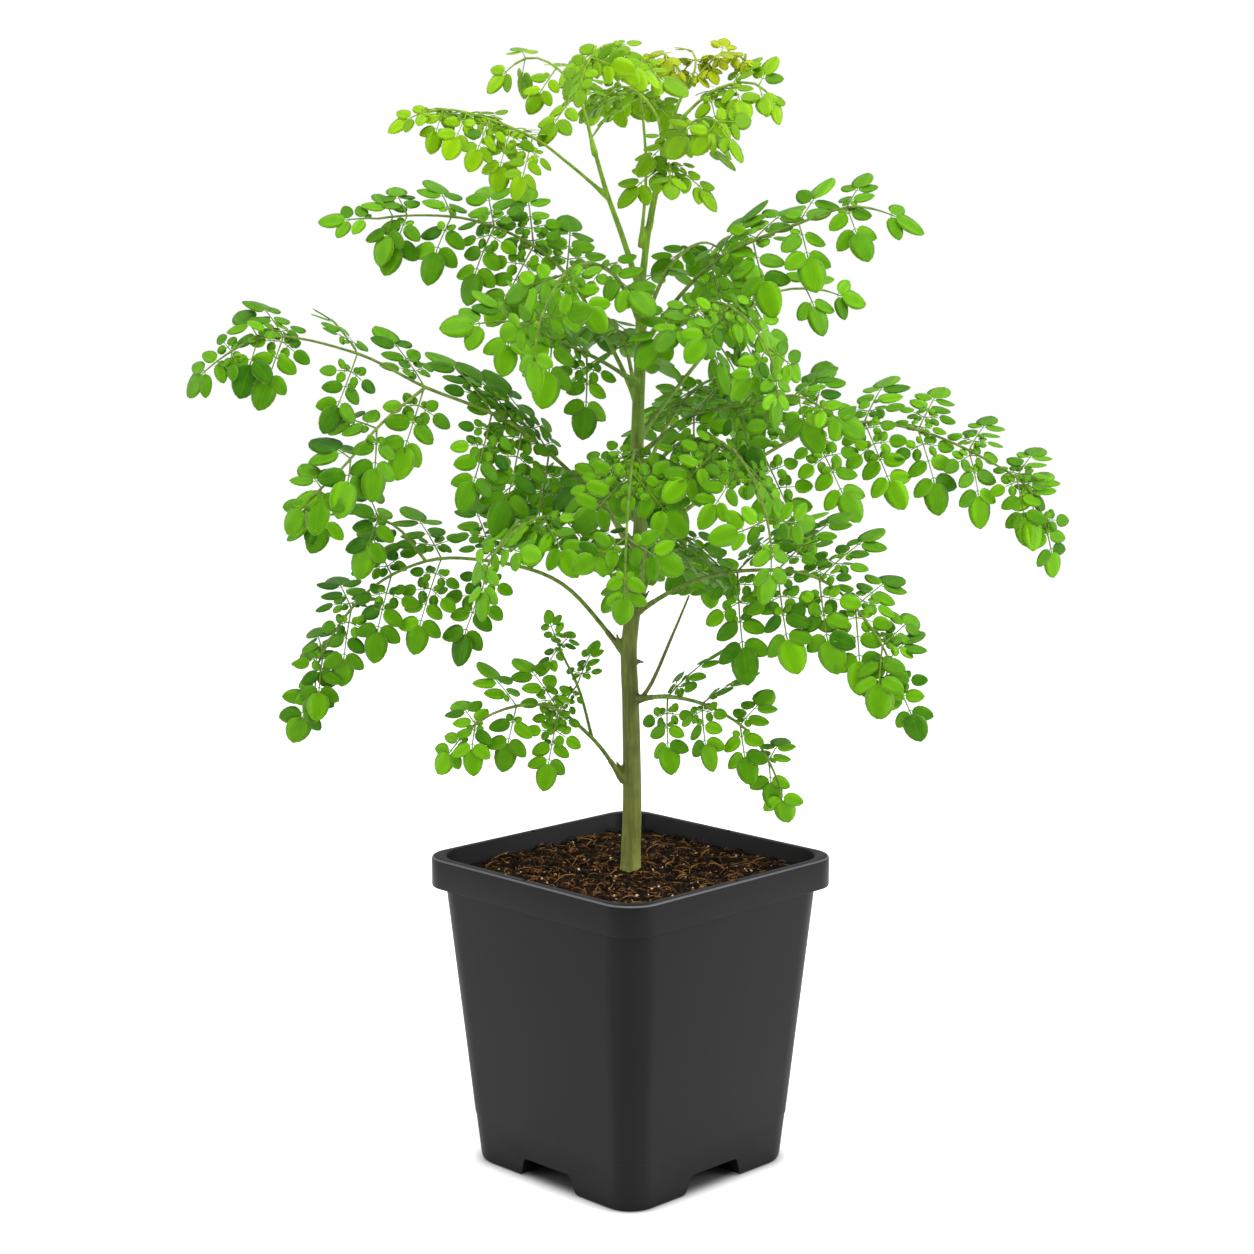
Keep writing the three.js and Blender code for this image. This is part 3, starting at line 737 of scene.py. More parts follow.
# %% Strew them over the soil
STREW_REACH = 82
STREW_FLAT = 60
STREW_CORNER = 22.5
CLEAR_OF_STEM = 8.5
ABOVE_SOIL = 0.25
ground = BVHTree.FromObject(soil, bpy.context.evaluated_depsgraph_get())


def turned(yaw, pitch, roll):
    """A rotation as three rows."""
    cy, sy, cp, sp, cr, sr = (f(a) for a in (yaw, pitch, roll) for f in (math.cos, math.sin))
    return (np.array([[cy, -sy, 0], [sy, cy, 0], [0, 0, 1]])
            @ np.array([[cp, 0, sp], [0, 1, 0], [-sp, 0, cp]])
            @ np.array([[1, 0, 0], [0, cr, -sr], [0, sr, cr]]))


def spot_on_soil():
    """A place on the soil, not in the stem and clear of the pot's wall."""
    while True:
        x, y = chance.uniform(-STREW_REACH, STREW_REACH, 2)
        corner = math.hypot(max(abs(x) - STREW_FLAT, 0), max(abs(y) - STREW_FLAT, 0))
        if corner < STREW_CORNER and math.hypot(x, y) > CLEAR_OF_STEM:
            hit = ground.ray_cast(Vector((x * MM, y * MM, ABOVE_SOIL)), Vector((0, 0, -1)))[0]
            if hit:
                return np.array(hit)


def strew(patterns, count, sizes, tilt, sink):
    """Copies of the patterns as (points, faces, shade) on the soil."""
    for _ in range(count):
        points, faces = patterns[chance.integers(len(patterns))]
        size = chance.uniform(*sizes)
        turn = turned(chance.uniform(0, 2 * math.pi), *chance.uniform(-tilt, tilt, 2))
        spot = spot_on_soil() + np.array([0, 0, sink * MM * size])
        yield points * size @ turn.T + spot, faces, chance.uniform()


def one_mesh(name, copies):
    """One object from many (points, faces, shade) copies, with the shade kept on the points."""
    copies = list(copies)
    starts = np.cumsum([0] + [len(points) for points, _, _ in copies])
    points = np.concatenate([c[0] for c in copies])
    faces = np.concatenate([c[1] + start for c, start in zip(copies, starts)])
    mesh = bpy.data.meshes.new(name)
    mesh.from_pydata(points.tolist(), [], faces.tolist())
    values = np.repeat([c[2] for c in copies], [len(c[0]) for c in copies])
    mesh.attributes.new("shade", "FLOAT", "POINT").data.foreach_set("value", values)
    return piece_from(name, mesh)


litter = one_mesh("bark_fibres", [
    *strew(fibres, 1500, (0.6, 1.3), 0.5, 0.15),
    *strew(chips, 420, (2.0, 5.0), 0.7, 0.05),
])
crumbs = one_mesh("soil_crumbs", strew(lumps, 1500, (1.0, 3.4), 1.5, 0.1))
grains = one_mesh("pale_grains", strew(lumps, 190, (0.7, 2.4), 1.5, 0.2))
for piece in (litter, crumbs, grains):
    smooth_below(piece, 50)
    print(piece.name, "faces:", faces_of(piece))

# %% [markdown]
# The wet peat's colour follows the same fine noise as its bump: nearly black where the bump sinks,
# which is painted shade in its hollows, and brown on its crumbs. The fibres run from dark to orange
# brown, and each keeps its own shade of colour, which the strewing stored on its points.

# %% Soil finishes
def earthy(name, stops, roughness, fine):
    """A finish that goes by each bit's own shade, broken up by a fine noise."""
    finish, shader = new_finish(name, roughness, specular=0.15)
    shade = add(finish, "Attribute", attribute_name="shade").outputs["Fac"]
    speck = noise(finish, place(finish), fine, 4.0)
    half = calc(finish, "MULTIPLY", calc(finish, "ADD", shade, speck), 0.5)
    link(finish, ramp(finish, half, stops), shader, "Base Color")
    bump(finish, shader, speck, 0.6, 0.0004)
    return finish


peat, shader = new_finish("dark_peat", roughness=0.95, specular=0.08)
where = place(peat)
crumb = noise(peat, where, 420.0, 6.0)
patch = noise(peat, where, 60.0, 3.0)
# Painted shade: the colour is darkest where the crumb noise, which also drives the bump, is low.
browns_and_hollow_shade = ramp(peat, crumb, [(0.38, tone(9, 6, 4)), (0.56, tone(28, 17, 9)),
                            (0.78, tone(76, 48, 24))])
link(peat, blend(peat, patch, browns_and_hollow_shade, tone(20, 13, 8)), shader, "Base Color")
bump(peat, shader, crumb, 0.8, 0.0008)
set_finishes(soil, peat)
smooth_below(soil, 60)
set_finishes(litter, earthy(
    "bark_fibre", [(0.25, tone(18, 11, 6)), (0.5, tone(56, 36, 16)), (0.78, tone(150, 104, 50))],
    0.8, 300.0))
set_finishes(crumbs, earthy(
    "peat_crumb", [(0.25, tone(12, 8, 5)), (0.55, tone(34, 21, 13)), (0.8, tone(74, 46, 26))],
    0.95, 500.0))
set_finishes(grains, earthy(
    "pale_grain", [(0.25, tone(150, 110, 75)), (0.55, tone(214, 190, 160)),
                   (0.8, tone(244, 234, 220))], 0.7, 500.0))
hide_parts("soil")
for piece in (soil, litter, crumbs, grains):
    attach(piece, "root")
    print(piece.name, "wears", piece.data.materials[0].name)

# %% [markdown]
# ## Paths of the stem and the leaves
#
# Everything that grows follows a smooth path through a few knots. The knots are laid out as seen
# by someone who faces the pot's front corner: how far to the right, how far away, and how high, in
# millimetres. The same knots and the same kind of curve made the plain solids, so each fine piece
# lies where its solid does.

# %% Smooth paths
UP = np.array([0.0, 0.0, 1.0])
STRETCH_STEPS = 40
NEAR_BY = 0.002


def unit(v):
    return v / np.linalg.norm(v)


def smooth_path(knots):
    """Points along a curve through the knots, with the length up to each."""
    k = np.array(knots, float)
    k = np.vstack([2 * k[0] - k[1], k, 2 * k[-1] - k[-2]])
    points = []
    for a, b, c, d in zip(k, k[1:], k[2:], k[3:]):
        ab, bc, cd = (math.sqrt(np.linalg.norm(q - p)) for p, q in ((a, b), (b, c), (c, d)))
        leave = ((b - a) / ab - (c - a) / (ab + bc) + (c - b) / bc) * bc
        arrive = ((c - b) / bc - (d - b) / (bc + cd) + (d - c) / cd) * bc
        for t in np.arange(STRETCH_STEPS) / STRETCH_STEPS:
            points.append(b + leave * t + (3 * (c - b) - 2 * leave - arrive) * t ** 2
                          + (2 * (b - c) + leave + arrive) * t ** 3)
    points.append(k[-2])
    points = np.array(points)
    steps = np.linalg.norm(np.diff(points, axis=0), axis=1)
    return points, np.concatenate([[0], np.cumsum(steps)])


def on_path(path, share):
    """The point at a share of the path's length."""
    points, along = path
    return np.array([np.interp(share * along[-1], along, points[:, k]) for k in range(3)])


def station(path, share):
    """A place on a stalk: its point, the way it runs, what is right of it, the way it faces, and
    the one of its two sides that is nearer to the viewer."""
    ahead = unit(on_path(path, min(share + NEAR_BY, 1)) - on_path(path, max(share - NEAR_BY, 0)))
    right = unit(np.cross(ahead, UP))
    return {"start": on_path(path, share), "ahead": ahead, "right": right,
            "facing": np.cross(right, ahead), "side": right if right[1] < 0 else -right}


def into_frame(points):
    """From millimetres right, away and up into the row's frame."""
    c, s = math.cos(VIEW_TURN), math.sin(VIEW_TURN)
    return np.asarray(points) @ np.array([[c, s, 0], [-s, c, 0], [0, 0, 1]]) * MM


# %% [markdown]
# ## The leaves' plan
#
# Each leaf is feathery twice over: its stalk bears opposite branchlets, and each of those bears
# leaflets. Leaves seen from the side hang their near branchlets down and raise their far ones, as
# the photograph shows. Leaves that point at or away from the camera spread both like a roof, and
# tip them a little the way the stalk runs.

# %% Plan of the leaves
HANGING = {"lift": (-64, 42), "droop": (24, 18), "turned": 0.25, "aside": 0.5, "forward": 0.0}
SPREAD = {"lift": (-26, -26), "droop": (34, 34), "turned": 0.8, "aside": 0.0, "forward": 0.45}
NODDING = {"lift": (-62, 14), "droop": (24, 28), "turned": 0.25, "aside": 0.5, "forward": 0.0}
CROWN = {"kind": "fresh", "scale": 0.78, "stalk": 0.7, "fine": 0.96}
FRONT = {"hang": SPREAD, "fine": 0.9}
LOW = {"scale": 0.86}


def leaf(name, pairs, start, reach, path, side=(), kind="mature", scale=1.0, stalk=1.0,
         fine=1.0, hang=HANGING):
    return {"name": name, "kind": kind, "pairs": pairs, "from": start, "reach": reach,
            "path": path, "side": side, "scale": scale, "stalk": stalk, "fine": fine,
            **hang}


def side(pairs, start, reach, path, fine=1.0):
    return {"pairs": pairs, "from": start, "reach": reach, "path": path, "fine": fine}


LEAVES = [
    leaf("leaf_low_left", 3, 0.42, 48,
         [(-4, 0, 238), (-23, -14, 267), (-50, -26, 289), (-83, -36, 285), (-118, -42, 254)],
         [side(2, 0.4, 34,
               [(-23, -14, 267), (-31, -4, 295), (-42, 5, 317), (-50, 10, 342)], fine=0.64)],
         **LOW),
    leaf("leaf_low_right", 4, 0.2, 46,
         [(3, 0, 288), (24, -25, 294), (48, -45, 291), (72, -55, 275), (97, -60, 225)], **LOW),
    leaf("leaf_left_drooping", 5, 0.35, 66,
         [(-3, 0, 316), (-44, 14, 358), (-93, 22, 370), (-124, 22, 369), (-159, 20, 351),
          (-189, 18, 309), (-201, 16, 255)],
         [side(2, 0.4, 38,
               [(-124, 22, 369), (-144, 25, 391), (-174, 23, 398), (-210, 19, 389)])]),
    leaf("leaf_right_drooping", 5, 0.33, 68,
         [(2, 0, 340), (33, -22, 361), (65, -46, 372), (109, -72, 370), (141, -86, 337),
          (160, -97, 280)]),
    leaf("leaf_left_long", 5, 0.27, 68,
         [(4, 0, 380), (-32, -30, 425), (-73, -50, 460), (-116, -64, 479), (-155, -74, 499),
          (-208, -84, 507), (-250, -86, 475)],
         [side(2, 0.34, 40,
               [(-116, -64, 479), (-139, -84, 460), (-163, -99, 433), (-195, -106, 405)])]),
    leaf("leaf_right_long", 6, 0.3, 68,
         [(5, 0, 378), (37, 20, 403), (83, 38, 433), (121, 46, 450), (170, 48, 448),
          (217, 46, 429), (245, 42, 409), (262, 36, 357)]),
    leaf("leaf_right_inner", 3, 0.32, 54,
         [(4, 0, 434), (34, -30, 460), (63, -55, 468), (96, -70, 474), (128, -82, 450)]),
    leaf("leaf_right_upper_back", 3, 0.42, 48,
         [(5, 0, 446), (46, 35, 495), (66, 55, 514), (94, 70, 531), (148, 82, 527)]),
    leaf("leaf_left_upper", 5, 0.36, 60,
         [(5, 0, 465), (-15, 12, 505), (-47, 26, 550), (-90, 36, 572), (-133, 40, 576),
          (-187, 40, 568)]),
    leaf("leaf_left_inner", 3, 0.34, 50,
         [(5, 0, 477), (-17, -25, 492), (-40, -50, 504), (-68, -70, 516), (-104, -80, 510)]),
    leaf("leaf_right_upper", 4, 0.34, 54,
         [(6, 0, 498), (32, -15, 533), (53, -25, 552), (94, -40, 570), (130, -45, 580),
          (166, -48, 566)]),
    leaf("leaf_crown_left", 3, 0.4, 42,
         [(-13, 0, 586), (-37, -10, 606), (-57, -20, 620), (-108, -30, 635),
          (-138, -34, 624)],
         **CROWN, hang=NODDING),
    leaf("leaf_crown_top_left", 3, 0.34, 38,
         [(-20.5, 0, 610), (-29, 0, 641), (-41, 8, 659), (-59, 15, 667), (-86, 18, 650)],
         **CROWN, hang=NODDING),
    leaf("leaf_crown_right", 2, 0.36, 34,
         [(23, 0, 624), (40, -2, 641), (53, -6, 649), (73, -10, 650), (90, -12, 630)],
         **CROWN, hang=NODDING),
    leaf("leaf_crown_front_right", 2, 0.38, 40,
         [(15, 0, 592), (28, -25, 622), (45, -45, 629), (64, -64, 608)],
         **CROWN, hang=SPREAD),
    leaf("leaf_crown_front", 3, 0.56, 42,
         [(6, 0, 557), (9, -10, 604), (4, -26, 648), (-6, -52, 668), (-20, -84, 662),
          (-31, -108, 634)],
         **CROWN, hang=SPREAD),
    leaf("leaf_crown_back", 3, 0.36, 40,
         [(19, 0, 610), (16, 14, 632), (2, 42, 650), (-14, 74, 652), (-28, 108, 638)],
         **CROWN, hang=SPREAD),
    leaf("leaf_crown_hanging", 1, 0.6, 38,
         [(11, 0, 568), (18, -18, 598), (22, -44, 604), (22, -74, 588)],
         **CROWN, hang=SPREAD),
    leaf("leaf_front_low", 3, 0.34, 58,
         [(5, 0, 402), (4, -42, 440), (1, -84, 438), (-2, -112, 405), (-4, -124, 352)],
         **FRONT),
    leaf("leaf_front_right", 3, 0.36, 56,
         [(5, 0, 420), (32, -42, 447), (58, -82, 444), (74, -110, 414), (80, -124, 364)],
         **FRONT),
    leaf("leaf_front_upper_right", 3, 0.36, 54,
         [(5, 0, 484), (26, -38, 518), (52, -76, 526), (74, -106, 504), (84, -122, 462)],
         **FRONT),
    leaf("leaf_front_upper_left", 3, 0.36, 50,
         [(6, 0, 515), (-12, -34, 544), (-32, -68, 546), (-48, -96, 522), (-56, -110, 480)],
         **FRONT),
    leaf("leaf_front_left", 3, 0.36, 50,
         [(2, 0, 352), (-24, -44, 394), (-52, -86, 407), (-74, -116, 392), (-88, -130, 358)],
         **FRONT),
    leaf("leaf_back_low", 3, 0.34, 58,
         [(0, 0, 326), (14, 44, 362), (32, 96, 374), (46, 144, 362), (56, 184, 324)],
         hang=SPREAD),
    leaf("leaf_back_left", 3, 0.34, 56,
         [(5, 0, 368), (-20, 44, 406), (-46, 90, 420), (-68, 128, 410), (-82, 156, 376)],
         hang=SPREAD),
    leaf("leaf_back_right", 3, 0.34, 56,
         [(4, 0, 414), (26, 46, 456), (50, 100, 474), (70, 150, 466), (82, 188, 436)],
         hang=SPREAD),
    leaf("leaf_back_upper_left", 3, 0.34, 44,
         [(5, 0, 458), (-4, 44, 500), (-20, 92, 516), (-38, 144, 500)],
         hang=SPREAD),
    leaf("leaf_back_upper_right", 3, 0.34, 42,
         [(6, 0, 508), (24, 36, 546), (46, 76, 560), (68, 116, 546)],
         hang=SPREAD),
]
SHOOT = {**NODDING, "lift": (-10, 10), "turned": 0.0, "aside": 0.0}
LEAVES.append(leaf(
    "leaf_shoot", 1, 0.55, 14,
    [(33.5, 0, 648), (27, -3, 661), (18, -6, 668), (4, -9, 661)],
    [side(1, 0.55, 12, [(33.5, 0, 648), (38, 4, 662), (37, 8, 669), (31, 14, 673)]),
     side(1, 0.55, 14, [(33.5, 0, 648), (45, 2, 662), (56, 3, 670), (73, 2, 660)])],
    kind="young", scale=0.5, stalk=0.68, hang=SHOOT))
print("leaves:", len(LEAVES))

# %% [markdown]
# ## The stem
#
# The trunk, its two leaders and the feet of the leaf stalks grew together, with no seams. Rods
# along their paths give the thickness. A voxel remesh melts the rods into one skin, and a smooth
# pass rounds the joints, as bark does over the years. Small pointed buds sit in the lower axils.

# %% Rods for the stem
TRUNK = [(0, 0, 121), (0, 0, 181), (1, 0, 226), (0, 0, 287), (-1, 0, 318), (2, 0, 348),
         (6, 0, 397), (4, 0, 438), (6, 0, 503), (6, 0, 540)]
LEFT_LEADER = [(6, 0, 530), (-5, 0, 564), (-14, 0, 589), (-21, 0, 613)]
RIGHT_LEADER = [(6, 0, 530), (10, 0, 564), (14, 0, 587), (20, 0, 613), (26, 0, 635), (35, 0, 655)]
BARE_STALK = [(2, -1, 284), (11, -6, 296), (24, -9, 326), (35, -11, 353)]
STALK_FOOT = 1.7
STEM_PITCH = 6.0
COLLAR = [(0, 1.7), (5, 1.55), (8, 1.25), (12, 1.06), (18, 1.0)]
FLARE, FLARE_FROM, FLARE_TO = 1.3, 176, 215


def tapered(knots, foot, top):
    """A line of (point, radius) along a path, thinning evenly."""
    path = smooth_path(knots)
    count = max(int(path[1][-1] / STEM_PITCH), 3)
    return [(on_path(path, i / count), foot + (top - foot) * i / count) for i in range(count + 1)]


def collar(one):
    """The swollen foot of a leaf stalk."""
    path = smooth_path(one["path"])
    thick = STALK_FOOT * one["stalk"]
    return [(on_path(path, d / path[1][-1]), thick * swell) for d, swell in COLLAR]


def bud(spot, lean, tall):
    """A small pointed bud in an axil."""
    spot = np.array(spot, float)
    tip = unit(np.array(lean, float))
    return [(spot, 1.5), (spot + tip * tall * 0.5, 1.1), (spot + tip * tall, 0.45)]


def flared(line):
    """The trunk's line, thicker where it comes out of the soil."""
    for point, radius in line:
        above = max(point[2] - FLARE_FROM, 0)
        yield point, radius + (FLARE * math.exp(-above / 7) if point[2] < FLARE_TO else 0)


def lines_in_frame(lines):
    return [[(into_frame(point) / MM, radius) for point, radius in line] for line in lines]


stem_lines = [
    flared(tapered(TRUNK, 6.6, 3.1)),
    tapered(LEFT_LEADER, 2.0, 1.3),
    tapered(RIGHT_LEADER, 2.3, 1.0),
    tapered(BARE_STALK, 1.5, 0.8),
    *[collar(one) for one in LEAVES if one["name"] != "leaf_shoot"],
    bud((-6.5, -1.5, 321), (-0.25, 0, 1), 8),
    bud((7.5, -2, 349), (0.7, 0, 1), 7),
    bud((-6.5, -1, 246), (-0.5, 0, 1), 5),
    bud((4, 0, 311), (1, 0, -0.1), 4.5),
]
stem = rods("stem_bark", lines_in_frame(stem_lines), 16)
modify(stem, "REMESH", mode="VOXEL", voxel_size=0.8 * MM)
modify(stem, "SMOOTH", factor=0.5, iterations=4)
take(stem)
bpy.ops.object.shade_smooth()
print("stem:", [round(d * 1000) for d in stem.dimensions], "mm, faces:", faces_of(stem))

# %% [markdown]
# Young moringa bark is smooth and green. It is pale yellow-green at the foot, olive grey in the
# middle and fresh green at the top, with fine streaks that run along it, small brown pores, and
# faint rings where old leaves fell. Height drives the colour, and stretched noise the streaks.

# %% Bark
bark, shader = new_finish("green_bark", roughness=0.6, specular=0.15)
where = place(bark)
height = add(bark, "SeparateXYZ", {0: where}).outputs["Z"]
greens = ramp(bark, fade(bark, height, 0.18, 0.66), [
    (0.0, tone(142, 146, 76)), (0.06, tone(116, 124, 58)), (0.2, tone(94, 102, 48)),
    (0.42, tone(88, 104, 44)), (0.62, tone(98, 130, 40)), (1.0, tone(128, 170, 44)),
])
stretch = add(bark, "Mapping", {"Vector": where, "Scale": (1.0, 1.0, 0.09)}).outputs["Vector"]
streak = noise(bark, stretch, 620.0, 4.0)
broad = noise(bark, where, 90.0, 3.0)
streaks = ramp(bark, streak, [(0.35, (0.62, 0.62, 0.6, 1)), (0.65, (1.12, 1.12, 1.05, 1))])
patches = ramp(bark, broad, [(0.38, (0.78, 0.82, 0.86, 1)), (0.62, (1.05, 1.03, 0.95, 1))])
skin = blend(bark, 1.0, blend(bark, 0.75, greens, streaks, "MULTIPLY"), patches, "MULTIPLY")
squash = add(bark, "Mapping", {"Vector": where, "Scale": (1.0, 1.0, 0.55)}).outputs["Vector"]
cells = add(bark, "TexVoronoi", {"Vector": squash, "Scale": 150.0, "Randomness": 1.0})
pores = fade(bark, cells.outputs["Distance"], 0.16, 0.1)
rare = fade(bark, cells.outputs["Color"], 0.72, 0.78)
pore = calc(bark, "MULTIPLY", pores, rare)
link(bark, blend(bark, pore, skin, tone(112, 72, 42)), shader, "Base Color")
bump(bark, shader, calc(bark, "ADD", streak, pore), 0.5, 0.0003)
set_finishes(stem, bark)
print("bark nodes:", len(bark.node_tree.nodes))
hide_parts("stem")
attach(stem, "root")

# %% [markdown]
# ## One leaflet
#
# A moringa leaflet is oval, broadest below its middle, round at its base and only slightly pointed.
# It is folded a little along its midrib, its sides arch down, and a short thin stalk of its own
# joins it to the rib. A grid is pulled to that outline row by row, with a narrow first strip as its
# stalk. The same grid, turned over, closes it from below, so it is a thin blade and not a sheet
# with no back. One is modelled one unit long and wide, and every large leaflet is a copy of it.
# The small round ones are made the same way, with fewer and rounder rows.

# %% Shape a leaflet
LARGE_ROWS = [(-0.1, 0.05), (0.0, 0.06), (0.05, 0.5), (0.17, 0.85), (0.36, 1.0), (0.56, 0.96),
              (0.75, 0.78), (0.91, 0.46), (1.0, 0.05)]
SMALL_ROWS = [(-0.16, 0.09), (0.0, 0.1), (0.12, 0.7), (0.42, 1.0), (0.72, 0.86), (0.93, 0.45),
              (1.0, 0.08)]
FOLD = 0.035
CUP = 0.06
TIP_FALL = 0.09
HALF_THICK = 0.009


def shape_leaflet(rows, columns):
    """An open sheet in the leaflet's outline, with its base at the origin."""
    count = len(rows) - 1
    sheet = primitive("leaflet", bpy.ops.mesh.primitive_grid_add, x_subdivisions=columns,
                      y_subdivisions=count, size=1, location=(0, 0.5, 0))
    edit(sheet)
    for i, (along, wide) in reversed(list(enumerate(rows))):
        row = i / count
        pick("VERT", lambda p: abs(p.y - row) < 1e-3 and abs(p.z) < 1e-6)
        bpy.ops.transform.resize(value=(wide, 1, 1), center_override=(0, row, 0))
        bpy.ops.transform.translate(value=(0, along - row, 0.5 - TIP_FALL * along ** 2))
    pick("VERT", lambda p: abs(p.x) < 1e-4 and 0.02 < p.y < 0.98)
    bpy.ops.transform.translate(value=(0, 0, -FOLD))
    done()
    return sheet


def edge_points(mesh):
    """The points on the rim of an open sheet."""
    uses = {}
    for face in mesh.polygons:
        for key in face.edge_keys:
            uses[key] = uses.get(key, 0) + 1
    return {v for key, n in uses.items() if n == 1 for v in key}


def closed_blade(rows, columns):
    """The leaflet as a closed thin blade: points, faces, and 0 on its rim or 1 inside it."""
    sheet = shape_leaflet(rows, columns)
    rim = np.array(sorted(edge_points(sheet.data)))
    shift_points(sheet, lambda p: p - Vector((0, 0, 0.5 + CUP * 2 * p.x ** 2)))
    points = np.array([v.co for v in sheet.data.vertices])
    faces = np.array([list(face.vertices) for face in sheet.data.polygons])
    bpy.data.objects.remove(sheet)
    inside = ~np.isin(np.arange(len(points)), rim)
    lift = np.outer(inside, [0, 0, HALF_THICK])
    back = faces[:, ::-1] + len(points)
    back = np.where(np.isin(back - len(points), rim), back - len(points), back)
    both = np.concatenate([points + lift, points - lift])
    used, corners = np.unique(np.concatenate([faces, back]), return_inverse=True)
    return {"points": both[used], "faces": corners.reshape(-1, 4),
            "inside": np.tile(inside, 2)[used].astype(float)}


BLADES = {"large": closed_blade(LARGE_ROWS, 4), "small": closed_blade(SMALL_ROWS, 2)}
for name, blade in BLADES.items():
    print(name, "leaflet:", len(blade["points"]), "points,", len(blade["faces"]), "faces")

# %% [markdown]
# ## A branchlet of leaflets
#
# The plain solids show how each branchlet leaves the stalk, bends and ends in one leaflet between
# two. On the plant there are more pairs along the rib, closer and smaller towards the stalk, and
# many of them are tiny twigs themselves, with a small round leaflet beside the oval one.

# %% How a branchlet runs
STALK_TIP = 0.8
SIDE_STALK_SHARE = 0.7
RIB_HALF = 0.6
PAIR_TO_TIP = 25
SIDE_LENGTH = 15
SIDE_ANGLE = math.radians(74)
ARCH = 0.012
GROUP_ANGLE = math.radians(70)
LAST_GROUP_SHARE = 0.62
END_SHARE = 0.6
END_DROOP = 0.5
LAST_PAIR = 0.86


def between(first, second, angle):
    return first * math.cos(angle) + second * math.sin(angle)


def heading(spot, swing):
    """The way a branchlet goes out."""
    if not spot["hand"]:
        return between(spot["ahead"], spot["facing"], swing)
    outward = between(spot["right"] * spot["hand"], UP, spot["lift"] + swing)
    return unit(between(spot["ahead"], outward, GROUP_ANGLE))


def rib_at(spot, direction, x):
    """On a bent rib, x millimetres out: the point, and the ways ahead, left and up."""
    bend = spot["droop"] / spot["reach"]
    above = UP * (1 - spot["turned"]) + spot["facing"] * spot["turned"]
    above = above * (1 - spot["aside"]) + spot["side"] * spot["aside"]
    above = above * (1 - spot["forward"]) + spot["ahead"] * spot["forward"]
    facing = unit(above - direction * (above @ direction))
    facing = between(facing, np.cross(facing, direction), spot.get("roll", 0.0))
    ahead = between(direction, -facing, bend * x)
    up = between(facing, direction, bend * x)
    at = (spot["start"] + direction * math.sin(bend * x) / bend
          + facing * (math.cos(bend * x) - 1) / bend)
    return at, ahead, np.cross(facing, direction), up


bows = sorted({*HANGING["droop"], *SPREAD["droop"], *NODDING["droop"]})
print("ribs bow by", bows[0], "to", bows[-1], "degrees")

# %% [markdown]
# Where two leaves came too close, the plain branchlet was swung aside. The swing isn't written
# down anywhere, so it is found again: of the few swings that were allowed, it is the one whose
# leaflets lie on the solid.

# %% Where the branchlets stand
SWINGS = [math.radians(a) for a in (0, 9, -9, 18, -18, 28, -28, 40, -40, 54, -54)]
ON_SOLID = 1.6


def plain_leaflets(spot, swing):
    """Points in the middle of the three leaflets of the plain solid."""
    direction = heading(spot, swing)
    scale = spot["scale"]
    x = max(spot["reach"] - PAIR_TO_TIP * scale, 3)
    out = 0.5 * SIDE_LENGTH * scale
    flat = [(x + 0.6 * PAIR_TO_TIP * scale, 0)]
    flat += [(x + out * math.cos(SIDE_ANGLE), hand * (RIB_HALF + out * math.sin(SIDE_ANGLE)))
             for hand in (1, -1)]
    for x, y in flat:
        at, _, left, up = rib_at(spot, direction, x)
        yield at + left * y - up * ARCH * y * y


def found_swing(spot, solid):
    """The swing whose leaflets lie on the solid, or None."""
    def worst(swing):
        points = into_frame(list(plain_leaflets(spot, swing)))
        return max(solid.find_nearest(Vector(p))[3] for p in points)
    best = min(SWINGS, key=worst)
    return best if worst(best) < ON_SOLID * MM else None


def spots_of(one, part, thick):
    """The spots on one stalk where branchlets of the plain solid stand."""
    path = smooth_path(part["path"])
    length = path[1][-1]
    end = 1 - part["reach"] * END_SHARE / length
    pitch = (end - part["from"]) * LAST_PAIR / max(part["pairs"] - 1, 1)
    same = {"fine": part["fine"], **{key: one[key] for key in ("scale", "turned", "forward")}}
    spots = [{**station(path, end), **same, "hand": 0, "share": end, "outer": 1.0,
              "aside": one["aside"], "reach": part["reach"] * END_SHARE, "droop": END_DROOP}]
    for i in range(part["pairs"]):
        share = part["from"] + pitch * i
        outer = i / (part["pairs"] - 1) if part["pairs"] > 1 else 0.0
        for hand in (1, -1):
            spot = station(path, share)
            far = 1 if hand * spot["right"][1] > 0 else 0
            spots.append({
                **spot, **same, "hand": hand, "share": share, "outer": outer,
                "aside": 0.0 if far else one["aside"],
                "reach": part["reach"] * (1 - outer * (1 - LAST_GROUP_SHARE)),
                "lift": math.radians(one["lift"][far]), "droop": math.radians(one["droop"][far]),
            })
    return {"path": path, "length": length, "end": end, "pitch": pitch, "spots": spots,
            "foot": STALK_FOOT * thick, "tip": min(STALK_TIP, STALK_FOOT * thick * 0.8)}


def stalks_of(one):
    """The main stalk and the side stalks of a leaf, with each branchlet's swing."""
    node = frame["nodes"][one["name"]]
    solid = BVHTree.FromObject(node, bpy.context.evaluated_depsgraph_get())
    stalks = []
    for i, part in enumerate([one, *one["side"]]):
        stalk = spots_of(one, part, one["stalk"] * (SIDE_STALK_SHARE if i else 1))
        for spot in stalk["spots"]:
            spot["swing"] = found_swing(spot, solid)
        stalks.append(stalk)
    return stalks


def all_spots():
    return [spot for stalks in plans.values() for stalk in stalks for spot in stalk["spots"]]


plans = {one["name"]: stalks_of(one) for one in LEAVES}
found = [spot for spot in all_spots() if spot["swing"] is not None]
print("branchlets in the solids:", len(found), "of", len(all_spots()))

# %% [markdown]
# Nearer the stem the real plant's branchlets stand closer than those of the solids. So more pairs
# are put between two there, a little smaller, each with the swing of a neighbour. The crown's
# leaves are young, so theirs stand closer further out, and closest of all on the shoot. The few
# branchlets that no allowed swing explains take a neighbour's as well.

